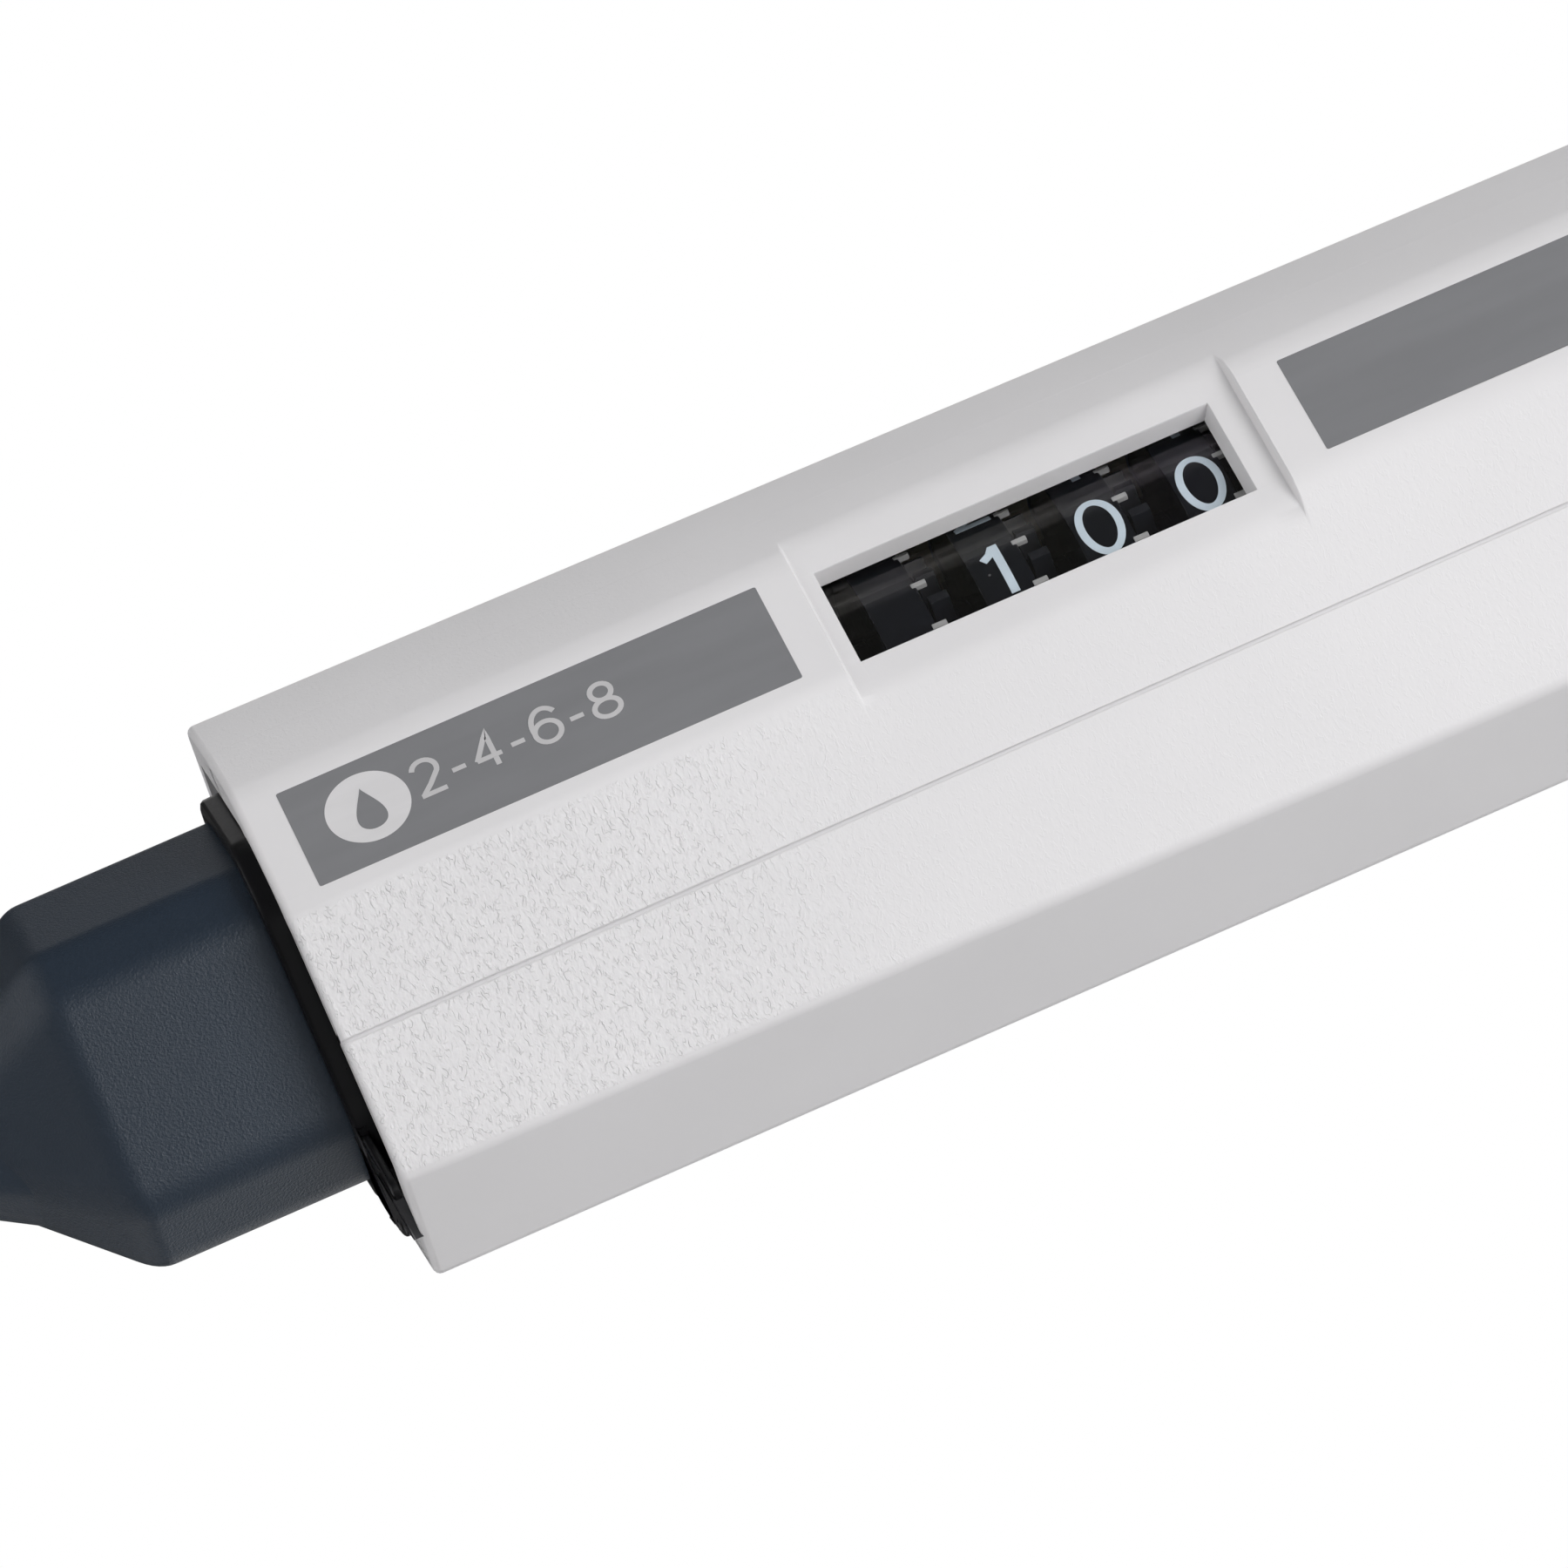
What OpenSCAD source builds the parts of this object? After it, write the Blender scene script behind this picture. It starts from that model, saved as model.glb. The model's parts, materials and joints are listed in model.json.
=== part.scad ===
// Eight-channel pipette with a mechanical volume counter, standing on its nozzles.
// +Z points up the handle to the push button, -Y is the front with the volume window, and the
// channels lie in a row along X. The origin is on the handle's axis, half way up the grip.
// Heights in this file are measured from the lower rim of the grip.

/* [Grip] */
// Height of the grip
grip_h = 112; // [104:1:140]
// Wall of the grip
wall = 2; // [1.6:0.1:2.6]
// Length of the side flat, front to back
side_flat = 8.6; // [7.6:0.2:10]
// Middle of the side flat, behind the axis
side_flat_y = 1; // [0:0.1:1.5]
// Slope of the eight-sided grip's slanting facets
facet_tilt = 36; // [34:0.2:37]
// Rounding of the grip's long edges
edge_r = 1.1; // [0.6:0.1:2]
// Width and depth of the parting line between cover and housing
seam = 0.3; // [0.2:0.05:0.5]

/* [Window] */
// Width of the window
window_w = 6.7; // [5:0.1:7.6]
// Height of the window's lower end
window_lo = 33.4; // [33:0.1:34]
// Length of the window
window_h = 22.9; // [20:0.1:23.2]
// Depth of the recess round the window
pocket_depth = 0.8; // [0.4:0.05:1]
// Length of the recess below the window
pocket_below = 1; // [0.6:0.05:1.5]
// Length of the recess above the window
pocket_above = 1.85; // [1:0.05:2.5]
// Thickness of the window lens
lens_t = 0.35; // [0.3:0.05:1]
// Space between the lens and the wheels
lens_gap = 0.2; // [0.15:0.05:0.6]

/* [Counter] */
// Radius of the digit wheels
wheel_r = 9.75; // [8:0.05:12]
// Height of the middle of the units wheel's digits
units_z = 54.35; // [54:0.05:54.6]
// Distance from one wheel's digits to the next
wheel_pitch = 5.9; // [5.85:0.05:6]
// Width of the band that carries the digits
band_w = 3; // [2.6:0.1:3.1]
// Width of a wheel's gear
gear_w = 1.8; // [1.5:0.1:1.9]
// Width of a wheel's carry disc
carry_w = 0.9; // [0.7:0.1:1]
// Space between the pinions and the side of the grip
side_room = 0.375; // [0.25:0.025:2]
// Diameter of the pinion axle
axle_d = 1.8; // [1.4:0.1:2.2]
// Thickness of the counter frame's plates
plate_t = 1.8; // [1.4:0.1:1.8]
// Travel of the volume nut over the whole setting range
nut_travel = 11.25; // [8:0.25:12]
// Height of the volume nut
nut_h = 4; // [3:0.5:5]

/* [Plunger] */
// Stroke to the first stop
first_stroke = 12.5; // [10:0.5:15]
// Further stroke that blows the last drop out
blowout_stroke = 2.5; // [2:0.5:3]
// Diameter of the plunger rod
rod_d = 3; // [2.4:0.1:3.6]
// Width of the hexagonal stem across its flats
stem_flats = 5; // [4.6:0.1:6]
// Radius of the push button
button_r = 8.4; // [7:0.2:8.4]
// Height of the push button
button_h = 14; // [10:1:18]

/* [Neck and ejector] */
// Width of the neck across its side flats
neck_w = 22.8; // [22:0.2:24]
// Depth of the neck
neck_d = 19.8; // [19:0.2:20.6]
// Length of the neck's side flat
neck_flat = 5.8; // [5:0.2:6.4]
// Wall of the neck
neck_wall = 1.5; // [1.2:0.1:1.8]
// Length of the neck below the grip, down to its taper
neck_straight = 13.2; // [12:0.2:18]
// Height of the neck's taper, from its straight part to the sleeve
taper_h = 6.9; // [6.4:0.1:9]
// Radius of the sleeve below the taper
sleeve_r = 3.9; // [3.7:0.1:4.2]
// Travel of the tip ejector
eject_travel = 8; // [5:0.5:8]
// Diameter of the ejector rod
eject_rod_d = 3; // [2.4:0.1:3.6]
// How far the rim plate stands out of the grip
rim_lip = 1.1; // [0.5:0.1:1.5]

/* [Head] */
// Number of channels
channels = 8; // [4:2:12]
// Distance between channels
channel_pitch = 9; // [9:0.5:12]
// Depth of the head, front to back
head_d = 22; // [22:0.5:28]
// Wall of the head's shells
shell_wall = 1.8; // [1.4:0.1:2.2]
// Diameter of the nose tube that carries the head
nose_d = 5.4; // [5.2:0.1:5.6]
// Diameter of a piston
piston_d = 3.2; // [1.2:0.1:3.6]
// Diameter of a nozzle where a tip grips it
nozzle_d = 4.4; // [3.8:0.1:5]
// Length of a nozzle's gripping part
nozzle_grip = 8; // [6:0.5:12]

/* [Finger hook] */
// Width of the finger hook
hook_w = 15; // [12:0.5:16]
// Reach of the finger hook behind the grip
hook_reach = 25; // [20:0.5:35]
// Clear height under the finger hook's arm, behind its lip
hook_lip = 8; // [5:0.5:12]

/* [Hidden] */
$fn = 64;
slide_gap = 0.05;  // radial gap of a running fit
free_gap = 0.3;    // gap round pieces that pass without guiding
cut = 1;           // how far a cutter runs past the face that it opens
nozzle_count = channels;
nozzle_nodes = [for (i = [1:nozzle_count]) str("nozzle_", i)];

shell_white = [0.86, 0.86, 0.86];
navy = [0.16, 0.2, 0.25];
ink = [0.06, 0.06, 0.07];
steel = [0.7, 0.71, 0.72];
brass = [0.78, 0.66, 0.38];
clear = [0.75, 0.8, 0.85, 0.4];
cream = [0.9, 0.88, 0.82];
rubber = [0.12, 0.12, 0.13];

// Gears: a wheel of 20 teeth and a pinion of 8, on a centre distance of 14 modules
wheel_teeth = 20;
pinion_teeth = 8;
tooth_module = 0.08 * wheel_r;
pinion_x = -tooth_module * (wheel_teeth + pinion_teeth) / 2;
pinion_tip_r = tooth_module * (pinion_teeth / 2 + 0.75);
axle_r = axle_d / 2;

// The grip is as wide and as deep as its mechanism needs
grip_w = 2 * (wall + side_room - pinion_x + pinion_tip_r);
lens_r = wheel_r + lens_gap + lens_t;
grip_d = 2 * (lens_r + wall);
flat_lo = side_flat_y - side_flat / 2;
flat_hi = side_flat_y + side_flat / 2;
seam_share = 0.454; // of the way from the front facet to the side flat
back_flat = grip_w / 2 - (grip_d / 2 - flat_hi) / tan(facet_tilt);
front_flat = grip_w / 2 - (grip_d / 2 + flat_lo) / tan(facet_tilt);
seam_x = front_flat + seam_share * (grip_w / 2 - front_flat);
seam_y = -grip_d / 2 + seam_share * (grip_d / 2 + flat_lo);

// Counter frame and drive
drive_r = stem_flats / 2 / cos(30) + 0.12 + 0.7;
frame_hi_z = units_z + band_w / 2 + gear_w + 0.35;
wheel_room = 1.8; // room below the lowest wheel
frame_lo_z = units_z - 3 * wheel_pitch - band_w / 2 - carry_w - wheel_room - plate_t;
drive_flange = 1;
nut_top = frame_hi_z + plate_t + drive_flange + 1.1 + nut_travel + nut_h;
frame_top_z = nut_top + 2.5;
rail_r = 1;
rail_y = 0.533 * wheel_r;
rail_x = sqrt(pow(wheel_r + rail_r + 0.5, 2) - rail_y * rail_y);
ear_r = rail_r + 0.9;

// Plunger
rod_r = rod_d / 2;
stroke = first_stroke + blowout_stroke;
cup_ledge = 2.5;
spring_len = stroke + 8.5;
collar_z = cup_ledge + spring_len;
collar_t = 2;
stem_lo = frame_lo_z + 2;
rod_top = stem_lo + 7;
hex_r = stem_flats / 2 / cos(30);
stem_r = hex_r + 0.3;
cap_t = 7;
ring_t = 1.5;
button_lo = grip_h + cap_t + ring_t + stroke + 0.5;
hex_top = grip_h - 8;

// Neck, ejector and spring cup
neck_lo = -neck_flat / 2;
neck_hi = neck_flat / 2;
neck_front = neck_w / 2 - (neck_d / 2 + neck_lo) / tan(facet_tilt);
neck_face_r = neck_front * sin(facet_tilt) + neck_d / 2 * cos(facet_tilt);
sleeve_lo = -neck_straight - taper_h - 8;
cup_r = neck_face_r - neck_wall - 0.48;
cup_wall = 1;
cup_lo = -neck_straight + 3.2;
cup_base = 2;
cup_hi = 18;
nose_r = nose_d / 2;
spring_or = 2.2;
eject_rod_r = eject_rod_d / 2;
bush_r = eject_rod_r + 0.9;
eject_x = grip_w / 2 - wall - max(spring_or, bush_r) - 0.2;
lobe_z = 13;
lobe_t = 2;
bush_h = 4;
clip_z = frame_top_z + plate_t + 2 + eject_travel + 12;
pad_z = grip_h + cap_t + eject_travel + 1;

// Head, from the ejector yoke down to the nozzles
yoke_top = sleeve_lo - 0.1;
yoke_t = 2.5;
swivel_top = yoke_top - yoke_t - eject_travel - 1.3;
swivel_r = 8;
head_top = swivel_top - 5;
swivel_lo = head_top - shell_wall - 2.2;
washer_t = 0.8;
clip_t = 0.8;
washer_top = swivel_lo + washer_t + clip_t + 0.2;
nose_lo = swivel_lo - 1;
socket_top = nose_lo - 1;
shoulder_h = 16;
shoulder_z = head_top - shoulder_h;
row_half = (nozzle_count - 1) / 2 * channel_pitch;
seal_r = piston_d / 2 + 1.2;
pocket_r = 2.5;
post_x = row_half + seal_r + pocket_r + 0.8;
bar_half = post_x + pocket_r + 0.6;
head_half = bar_half + free_gap + shell_wall;
head_in = head_half - shell_wall;
depth_in = head_d / 2 - shell_wall;
bar_top = shoulder_z - 2;
bar_t = 5;
bar_lo = bar_top - bar_t;
retainer_t = 1.5;
block_top = bar_lo - stroke - 0.5 - retainer_t;
seal_h = 3;
piston_lo = block_top - seal_h - 1;
bore_lo = piston_lo - stroke - 1;
socket_h = 3;
block_lo = bore_lo - socket_h;
stem_socket_r = nozzle_d / 2 + 0.4;
spring_floor = block_top - stroke - 3;
comb_top = block_lo - 1.3;
comb_t = 3.5;
nozzle_lo = block_lo - 6 - nozzle_grip;
air_r = 0.6;
post_r = 1;
coil_r = 1.9;
rod_lo = socket_top - 3;

function unit(v) = v / norm(v);

// Arc of radius r that rounds corner q between its neighbours p and s
function corner_arc(p, q, s, r, steps) =
    let (a = unit(p - q), b = unit(s - q), half = acos(a * b) / 2,
         centre = q + unit(a + b) * r / sin(half),
         start = q + a * r / tan(half) - centre,
         turn = 180 - 2 * half,
         from = atan2(start.y, start.x))
    [for (k = [0:steps]) centre + r * [cos(from + turn * k / steps), sin(from + turn * k / steps)]];

// A convex outline, listed anticlockwise, with every corner rounded
function rounded(pts, r, steps = 5) =
    let (n = len(pts))
    [for (i = [0:n - 1]) each corner_arc(pts[(i + n - 1) % n], pts[i], pts[(i + 1) % n], r, steps)];

// Eight-sided outline with side flats from lo to hi, moved inward by inset
function facets(half_w, half_d, lo, hi, inset) =
    let (x_shift = inset * tan(facet_tilt / 2), y_shift = inset * tan((90 - facet_tilt) / 2),
         w = half_w - inset, d = half_d - inset,
         front = half_w - (half_d + lo) / tan(facet_tilt) - x_shift,
         back = half_w - (half_d - hi) / tan(facet_tilt) - x_shift,
         y1 = lo + y_shift, y2 = hi - y_shift)
    [[front, -d], [w, y1], [w, y2], [back, d], [-back, d], [-w, y2], [-w, y1], [-front, -d]];

function grip_outline(inset = 0) =
    rounded(facets(grip_w / 2, grip_d / 2, flat_lo, flat_hi, inset), max(edge_r - inset, 0.3));

function neck_outline(inset = 0) =
    rounded(facets(neck_w / 2, neck_d / 2, neck_lo, neck_hi, inset), max(1 - inset, 0.3));

// Toothed outline: each tooth has the given half widths at its root and tip
function gear_outline(teeth, root_r, tip_r, root_half, tip_half, phase = 0) =
    [for (i = [0:teeth - 1], corner = [[root_r, -root_half], [tip_r, -tip_half],
                                      [tip_r, tip_half], [root_r, root_half]])
        let (a = phase + 360 * i / teeth + asin(corner.y / corner.x))
        corner.x * [cos(a), sin(a)]];

module prism(outline, lo, hi) {
    translate([0, 0, lo]) linear_extrude(hi - lo) polygon(outline);
}

module bar(r, lo, hi, x = 0, y = 0) {
    translate([x, y, lo]) cylinder(r = r, h = hi - lo);
}

module bore(r, lo, hi, x = 0, y = 0) {
    bar(r, lo - cut, hi + cut, x, y);
}

module ring(outer_r, inner_r, lo, hi) {
    difference() {
        bar(outer_r, lo, hi);
        bore(inner_r, lo, hi);
    }
}

// Round wire spring with its wire inside the heights lo and hi
module coil(mean_r, wire_r, lo, hi, turns) {
    sides = 6;
    rings = round(turns * 14);
    rise = hi - lo - 2 * wire_r;
    pts = [for (i = [0:rings], k = [0:sides - 1])
        let (a = 360 * turns * i / rings, b = 360 * k / sides, r = mean_r + wire_r * cos(b))
        [r * cos(a), r * sin(a), lo + wire_r + rise * i / rings + wire_r * sin(b)]];
    ends = [[for (k = [0:sides - 1]) k], [for (k = [sides - 1:-1:0]) rings * sides + k]];
    skin = [for (i = [0:rings - 1], k = [0:sides - 1])
        let (l = (k + 1) % sides, p = i * sides, q = p + sides)
        each [[p + k, q + k, q + l], [p + k, q + l, p + l]]];
    polyhedron(pts, concat(ends, skin), convexity = 10);
}

module each_channel() {
    for (i = [0:nozzle_count - 1]) translate([i * channel_pitch - row_half, 0, 0]) children();
}

module both_sides(x) {
    for (side = [-1, 1]) translate([side * x, 0, 0]) children();
}

// ---- Grip ----

// Wall of the grip before it is parted into cover and housing
module grip_shell() {
    difference() {
        prism(grip_outline(), 0, grip_h);
        prism(grip_outline(wall), -cut, grip_h + cut);
        window_pocket();
        window_opening();
        for (side = [-1, 1]) translate([side * seam_x, seam_y, -cut])
            rotate(side * facet_tilt) translate([-seam / 2, -seam, 0])
                cube([seam, 2 * seam, grip_h + 2 * cut]);
    }
}

module window_pocket() {
    translate([-grip_w / 2, -grip_d / 2 - cut, window_lo - pocket_below])
        cube([grip_w, pocket_depth + cut, window_h + pocket_below + pocket_above]);
}

module window_opening() {
    translate([-window_w / 2, -grip_d / 2 - cut, window_lo])
        cube([window_w, wall + 2 * cut, window_h]);
}

// Space in front of the plane where cover and housing meet
module cover_side() {
    translate([-grip_w, seam_y - grip_d, -cut]) cube([2 * grip_w, grip_d, grip_h + 2 * cut]);
}

// Lips on the cover that snap behind the housing's wall
module cover_lips() {
    for (z = [cup_hi + 3.5, frame_hi_z + plate_t + 3, grip_h - 14]) intersection() {
        difference() {
            prism(grip_outline(wall), z, z + 6);
            prism(grip_outline(wall + 1), z - cut, z + 6 + cut);
        }
        translate([-grip_w, seam_y - 2, z - cut]) cube([2 * grip_w, 4, 8]);
    }
}

module front_cover() {
    color(shell_white) union() {
        intersection() {
            grip_shell();
            cover_side();
        }
        cover_lips();
    }
}

module rear_housing() {
    color(shell_white) difference() {
        grip_shell();
        cover_side();
        translate([0, grip_d / 2 - wall - cut, grip_h - 18]) rotate([-90, 0, 0])
            cylinder(r = 1.2, h = wall + 2 * cut);
    }
}

module window_lens() {
    half = window_w / 2 + 1.7;
    edge = 1.6;
    lo = frame_lo_z + plate_t;
    hi = frame_hi_z;
    color(clear) difference() {
        intersection() {
            union() {
                bar(lens_r, lo, hi);
                for (side = [-1, 1]) translate([side * (half - edge / 2) - edge / 2, -lens_r, lo])
                    cube([edge, lens_r, hi - lo]);
            }
            translate([-half, -lens_r, lo]) cube([2 * half, lens_r / 4, hi - lo]);
            prism(grip_outline(wall), lo, hi);
        }
        bore(lens_r - lens_t, lo, hi);
    }
}

// Plate that closes the grip round the neck, with a slotted lobe under the ejector rod
module rim_plate() {
    slot_half = 1.8;
    slot_depth = 1.2;
    color(ink) difference() {
        union() {
            prism(grip_outline(wall), 0, cup_ledge);
            prism(neck_outline(-1.2), -rim_lip, 0);
            hull() lobe_corners() cylinder(r = 3, h = rim_lip, $fn = 32);
        }
        prism(neck_outline(-0.25), -rim_lip - cut, cup_ledge + cut);
        hull() for (y = [-slot_half, slot_half]) translate([eject_x, y, -rim_lip - cut])
            cylinder(r = 0.7, h = rim_lip + cut + slot_depth, $fn = 32);
    }
}

module lobe_corners() {
    for (p = [[eject_x - 0.1, -0.5], [eject_x - 0.1, 1.2], [eject_x - 4, -3], [eject_x - 4, 3]])
        translate([p.x, p.y, -rim_lip]) children();
}

module top_cap() {
    color(shell_white) difference() {
        union() {
            prism(grip_outline(wall), grip_h - 4, grip_h);
            prism(grip_outline(), grip_h, grip_h + cap_t - 3);
            hull() {
                prism(grip_outline(), grip_h + cap_t - 3, grip_h + cap_t - 2.9);
                prism(grip_outline(2), grip_h + cap_t - 0.1, grip_h + cap_t);
            }
        }
        bore(stem_r + free_gap, grip_h - 4, grip_h + cap_t);
        bore(eject_rod_r + free_gap, grip_h - 4, grip_h + cap_t, eject_x);
    }
}

module calibration_ring() {
    z = grip_h + cap_t;
    color(navy) difference() {
        bar(button_r - 1, z, z + ring_t);
        bore(stem_r + free_gap, z, z + ring_t);
        for (a = [0:30:330]) rotate(a) translate([button_r - 1, 0, z - cut])
            cylinder(r = 0.4, h = ring_t + 2 * cut, $fn = 12);
    }
}

// Side view of the hook: y runs back from the grip, z up
module hook_side(back, top) {
    arm = 5;
    difference() {
        hull() {
            translate([0, top - 22]) square([3, 22]);
            translate([back - 4, top - 5]) circle(r = 4, $fn = 32);
            translate([back - 2.5, top - arm - hook_lip]) circle(r = 2.5, $fn = 32);
        }
        hull() {
            translate([6, top - arm - 3]) circle(r = 3, $fn = 32);
            translate([back - 8, top - arm - 3]) circle(r = 3, $fn = 32);
            translate([3, top - 40]) square([back - 8, 1]);
        }
    }
}

module finger_hook() {
    color(shell_white) difference() {
        translate([hook_w / 2, grip_d / 2, 0]) rotate([90, 0, -90]) mirror([1, 0, 0])
            linear_extrude(hook_w) hook_side(hook_reach, grip_h - 2);
        translate([0, grip_d / 2 - cut, grip_h - 18]) rotate([-90, 0, 0]) {
            cylinder(r = 1.25, h = 3 + 2 * cut);
            translate([0, 0, cut + 1.6]) cylinder(r = 2.4, h = 3);
        }
    }
}

module hook_screw() {
    color(steel) translate([0, grip_d / 2 - wall, grip_h - 18]) rotate([-90, 0, 0]) {
        cylinder(r = 1.2, h = wall + 1.6);
        translate([0, 0, wall + 1.6]) difference() {
            cylinder(r = 2.3, h = 1.3);
            translate([0, 0, 0.5]) cylinder(r = 0.9, h = 2, $fn = 6);
        }
    }
}

// ---- Counter ----

function wheel_z(place) = units_z - place * wheel_pitch;

// One wheel: carry disc below, digit band, gear above
module counter_wheel(place, bore_r, shade) {
    z = wheel_z(place);
    half = band_w / 2;
    color(shade) difference() {
        union() {
            bar(wheel_r, z - half, z + half);
            prism(gear_outline(wheel_teeth, 8.9 * tooth_module, 10.75 * tooth_module,
                               0.9 * tooth_module, 0.35 * tooth_module), z + half, z + half + gear_w);
            bar(6.9 * tooth_module, z - half - carry_w, z - half);
            for (a = [-9, 9]) rotate(a) translate([0, -0.3 * tooth_module, z - half - carry_w])
                cube([8.9 * tooth_module, 0.6 * tooth_module, carry_w]);
        }
        bore(bore_r, z - half - carry_w, z + half + gear_w);
    }
}

module carry_pinion(place) {
    z = wheel_z(place) + band_w / 2 + 0.1;
    h = wheel_pitch - band_w - 0.2;
    color(cream) translate([pinion_x, 0, z]) difference() {
        linear_extrude(h) polygon(gear_outline(pinion_teeth, 2.8 * tooth_module, pinion_tip_r,
            0.75 * tooth_module, 0.32 * tooth_module, 180 / pinion_teeth));
        translate([0, 0, -cut]) cylinder(r = axle_r + slide_gap, h = h + 2 * cut);
    }
}

module drive_tube() {
    flange = frame_hi_z + plate_t + 0.1;
    color(brass) difference() {
        union() {
            bar(drive_r, frame_lo_z, frame_top_z + plate_t);
            bar(drive_r + 1.3, flange, flange + drive_flange);
        }
        translate([0, 0, frame_lo_z - cut])
            cylinder(r = hex_r + 0.12, h = frame_top_z + plate_t - frame_lo_z + 2 * cut, $fn = 6);
    }
}

module counter_frame() {
    color(ink) difference() {
        union() {
            for (z = [frame_lo_z, frame_hi_z, frame_top_z]) prism(grip_outline(wall), z, z + plate_t);
            both_sides(rail_x) bar(rail_r, frame_lo_z, frame_top_z + plate_t, 0, rail_y);
        }
        for (z = [frame_lo_z, frame_hi_z, frame_top_z]) {
            bore(drive_r + slide_gap, z, z + plate_t);
            bore(z == frame_top_z ? bush_r : eject_rod_r + free_gap, z, z + plate_t, eject_x);
        }
        bore(axle_r, frame_lo_z, frame_hi_z + plate_t, pinion_x);
    }
}

module pinion_axle() {
    color(steel) bar(axle_r, frame_lo_z, frame_hi_z + plate_t, pinion_x);
}

module volume_nut() {
    color(cream) difference() {
        union() {
            bar(drive_r + 3, nut_top - nut_h, nut_top);
            for (side = [-1, 1]) hull() {
                bar(ear_r, nut_top - nut_h, nut_top, side * rail_x, rail_y, $fn = 32);
                bar(ear_r, nut_top - nut_h, nut_top, 0, 0, $fn = 32);
            }
        }
        bore(drive_r + 0.1, nut_top - nut_h, nut_top);
        both_sides(rail_x) bore(rail_r + 0.1, nut_top - nut_h, nut_top, 0, rail_y);
    }
}

// ---- Plunger ----

module plunger_rod() {
    color(steel) bar(rod_r, rod_lo, rod_top);
}

module spring_collar() {
    sleeve_z = cup_ledge + first_stroke;
    color(brass) difference() {
        union() {
            bar(cup_r - cup_wall - free_gap, collar_z, collar_z + collar_t);
            bar(rod_r + 1.7, sleeve_z, collar_z);
        }
        bore(rod_r, sleeve_z, collar_z + collar_t);
    }
}

module button_stem() {
    color(steel) difference() {
        union() {
            translate([0, 0, stem_lo]) cylinder(r = hex_r, h = hex_top - stem_lo, $fn = 6);
            bar(stem_r, hex_top, button_lo + 2);
        }
        bar(rod_r + slide_gap, stem_lo - cut, rod_top + 0.1);
    }
}

module push_button() {
    top = button_lo + button_h;
    color(navy) difference() {
        rotate_extrude() polygon([
            [0, button_lo], [button_r - 0.8, button_lo], [button_r, button_lo + 0.8],
            [button_r, top - 3], [button_r - 0.5, top - 1.2], [button_r - 1.9, top], [0, top]]);
        bar(stem_r, button_lo - cut, button_lo + 2);
        bar(button_r - 2.9, top - 1, top + cut);
        for (a = [0:15:345]) rotate(a) translate([button_r + 0.2, 0, button_lo + 2])
            cylinder(r = 0.6, h = button_h - 5.4, $fn = 16);
    }
}

module button_disc() {
    top = button_lo + button_h;
    color(shell_white) bar(button_r - 2.9, top - 1, top - 0.2);
}

// ---- Springs and their seats ----

module spring_cup() {
    color(cream) difference() {
        union() {
            bar(cup_r, cup_lo, cup_hi);
            prism(grip_outline(wall), cup_hi, cup_hi + 2);
        }
        bar(cup_r - cup_wall, cup_ledge, cup_hi + 2 + cut);
        bar(4.2, cup_lo + cup_base, cup_ledge + cut);
        bore(nose_r, cup_lo, cup_lo + cup_base);
        bore(eject_rod_r + free_gap, cup_hi, cup_hi + 2, eject_x);
    }
}

module main_spring() {
    color(steel) coil(rod_r + 3.7, 0.4, cup_ledge, collar_z, 7);
}

module blowout_washer() {
    color(steel) ring(4, rod_r + free_gap, cup_ledge - 2, cup_ledge);
}

module blowout_spring() {
    color(steel) coil(3.1, 0.45, cup_lo + cup_base + 1, cup_ledge - 2, 3.5);
}

module ejector_spring() {
    color(steel) translate([eject_x, 0, 0])
        coil(eject_rod_r + 0.45, 0.25, frame_top_z + bush_h, clip_z, 10);
}

module carriage_springs() {
    color(steel) both_sides(post_x) coil(coil_r, 0.25, spring_floor, bar_lo, 11);
}

// ---- Nose tube and ejector ----

module nose_tube() {
    flange_z = cup_lo + cup_base;
    color(steel) difference() {
        union() {
            bar(nose_r, nose_lo, flange_z + 1);
            bar(4.1, flange_z, flange_z + 1);
        }
        bore(rod_r + 0.15, nose_lo, flange_z + 1);
        ring(nose_r + 1, nose_r - 0.5, washer_top - washer_t - clip_t, washer_top - washer_t);
    }
}

module head_clip() {
    z = washer_top - washer_t - clip_t;
    color(steel) difference() {
        ring(nose_r + 1.6, nose_r - 0.5, z, z + clip_t);
        translate([-1.2, 0, z - cut]) cube([2.4, 10, clip_t + 2 * cut]);
    }
}

module thrust_washer() {
    color(brass) ring(nose_r + 1.7, nose_r, washer_top - washer_t, washer_top);
}

// Eight-sided tube that tapers into a round sleeve; the taper starts at height top
module neck_taper(outline, top, r, h) {
    hull() {
        prism(outline, top - 0.1, top);
        bar(r, top - h, top - h + 0.1, $fn = 48);
    }
}

// Neck, sleeve, and the lobe that the ejector rod pushes on
module ejector_collar() {
    lobe_top = lobe_z + lobe_t;
    bore_r = nose_r + 0.15;
    color(navy) difference() {
        union() {
            prism(neck_outline(), -neck_straight, lobe_top);
            neck_taper(neck_outline(), -neck_straight, sleeve_r, taper_h);
            bar(sleeve_r, sleeve_lo, -neck_straight - taper_h + 1);
            hull() {
                bar(eject_rod_r + 0.7, lobe_z, lobe_top, eject_x, 0, $fn = 32);
                bar(3.4, lobe_z, lobe_top, neck_w / 2 - 3.6, 0, $fn = 32);
            }
        }
        prism(neck_outline(neck_wall), -neck_straight + 0.5, lobe_top + cut);
        neck_taper(neck_outline(neck_wall), -neck_straight + 0.6, bore_r, taper_h - 0.6);
        bore(bore_r, sleeve_lo, 0);
        bore(eject_rod_r, lobe_z, lobe_top, eject_x);
    }
}

module ejector_rod() {
    color(steel) bar(eject_rod_r, lobe_z, pad_z + 2, eject_x);
}

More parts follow.
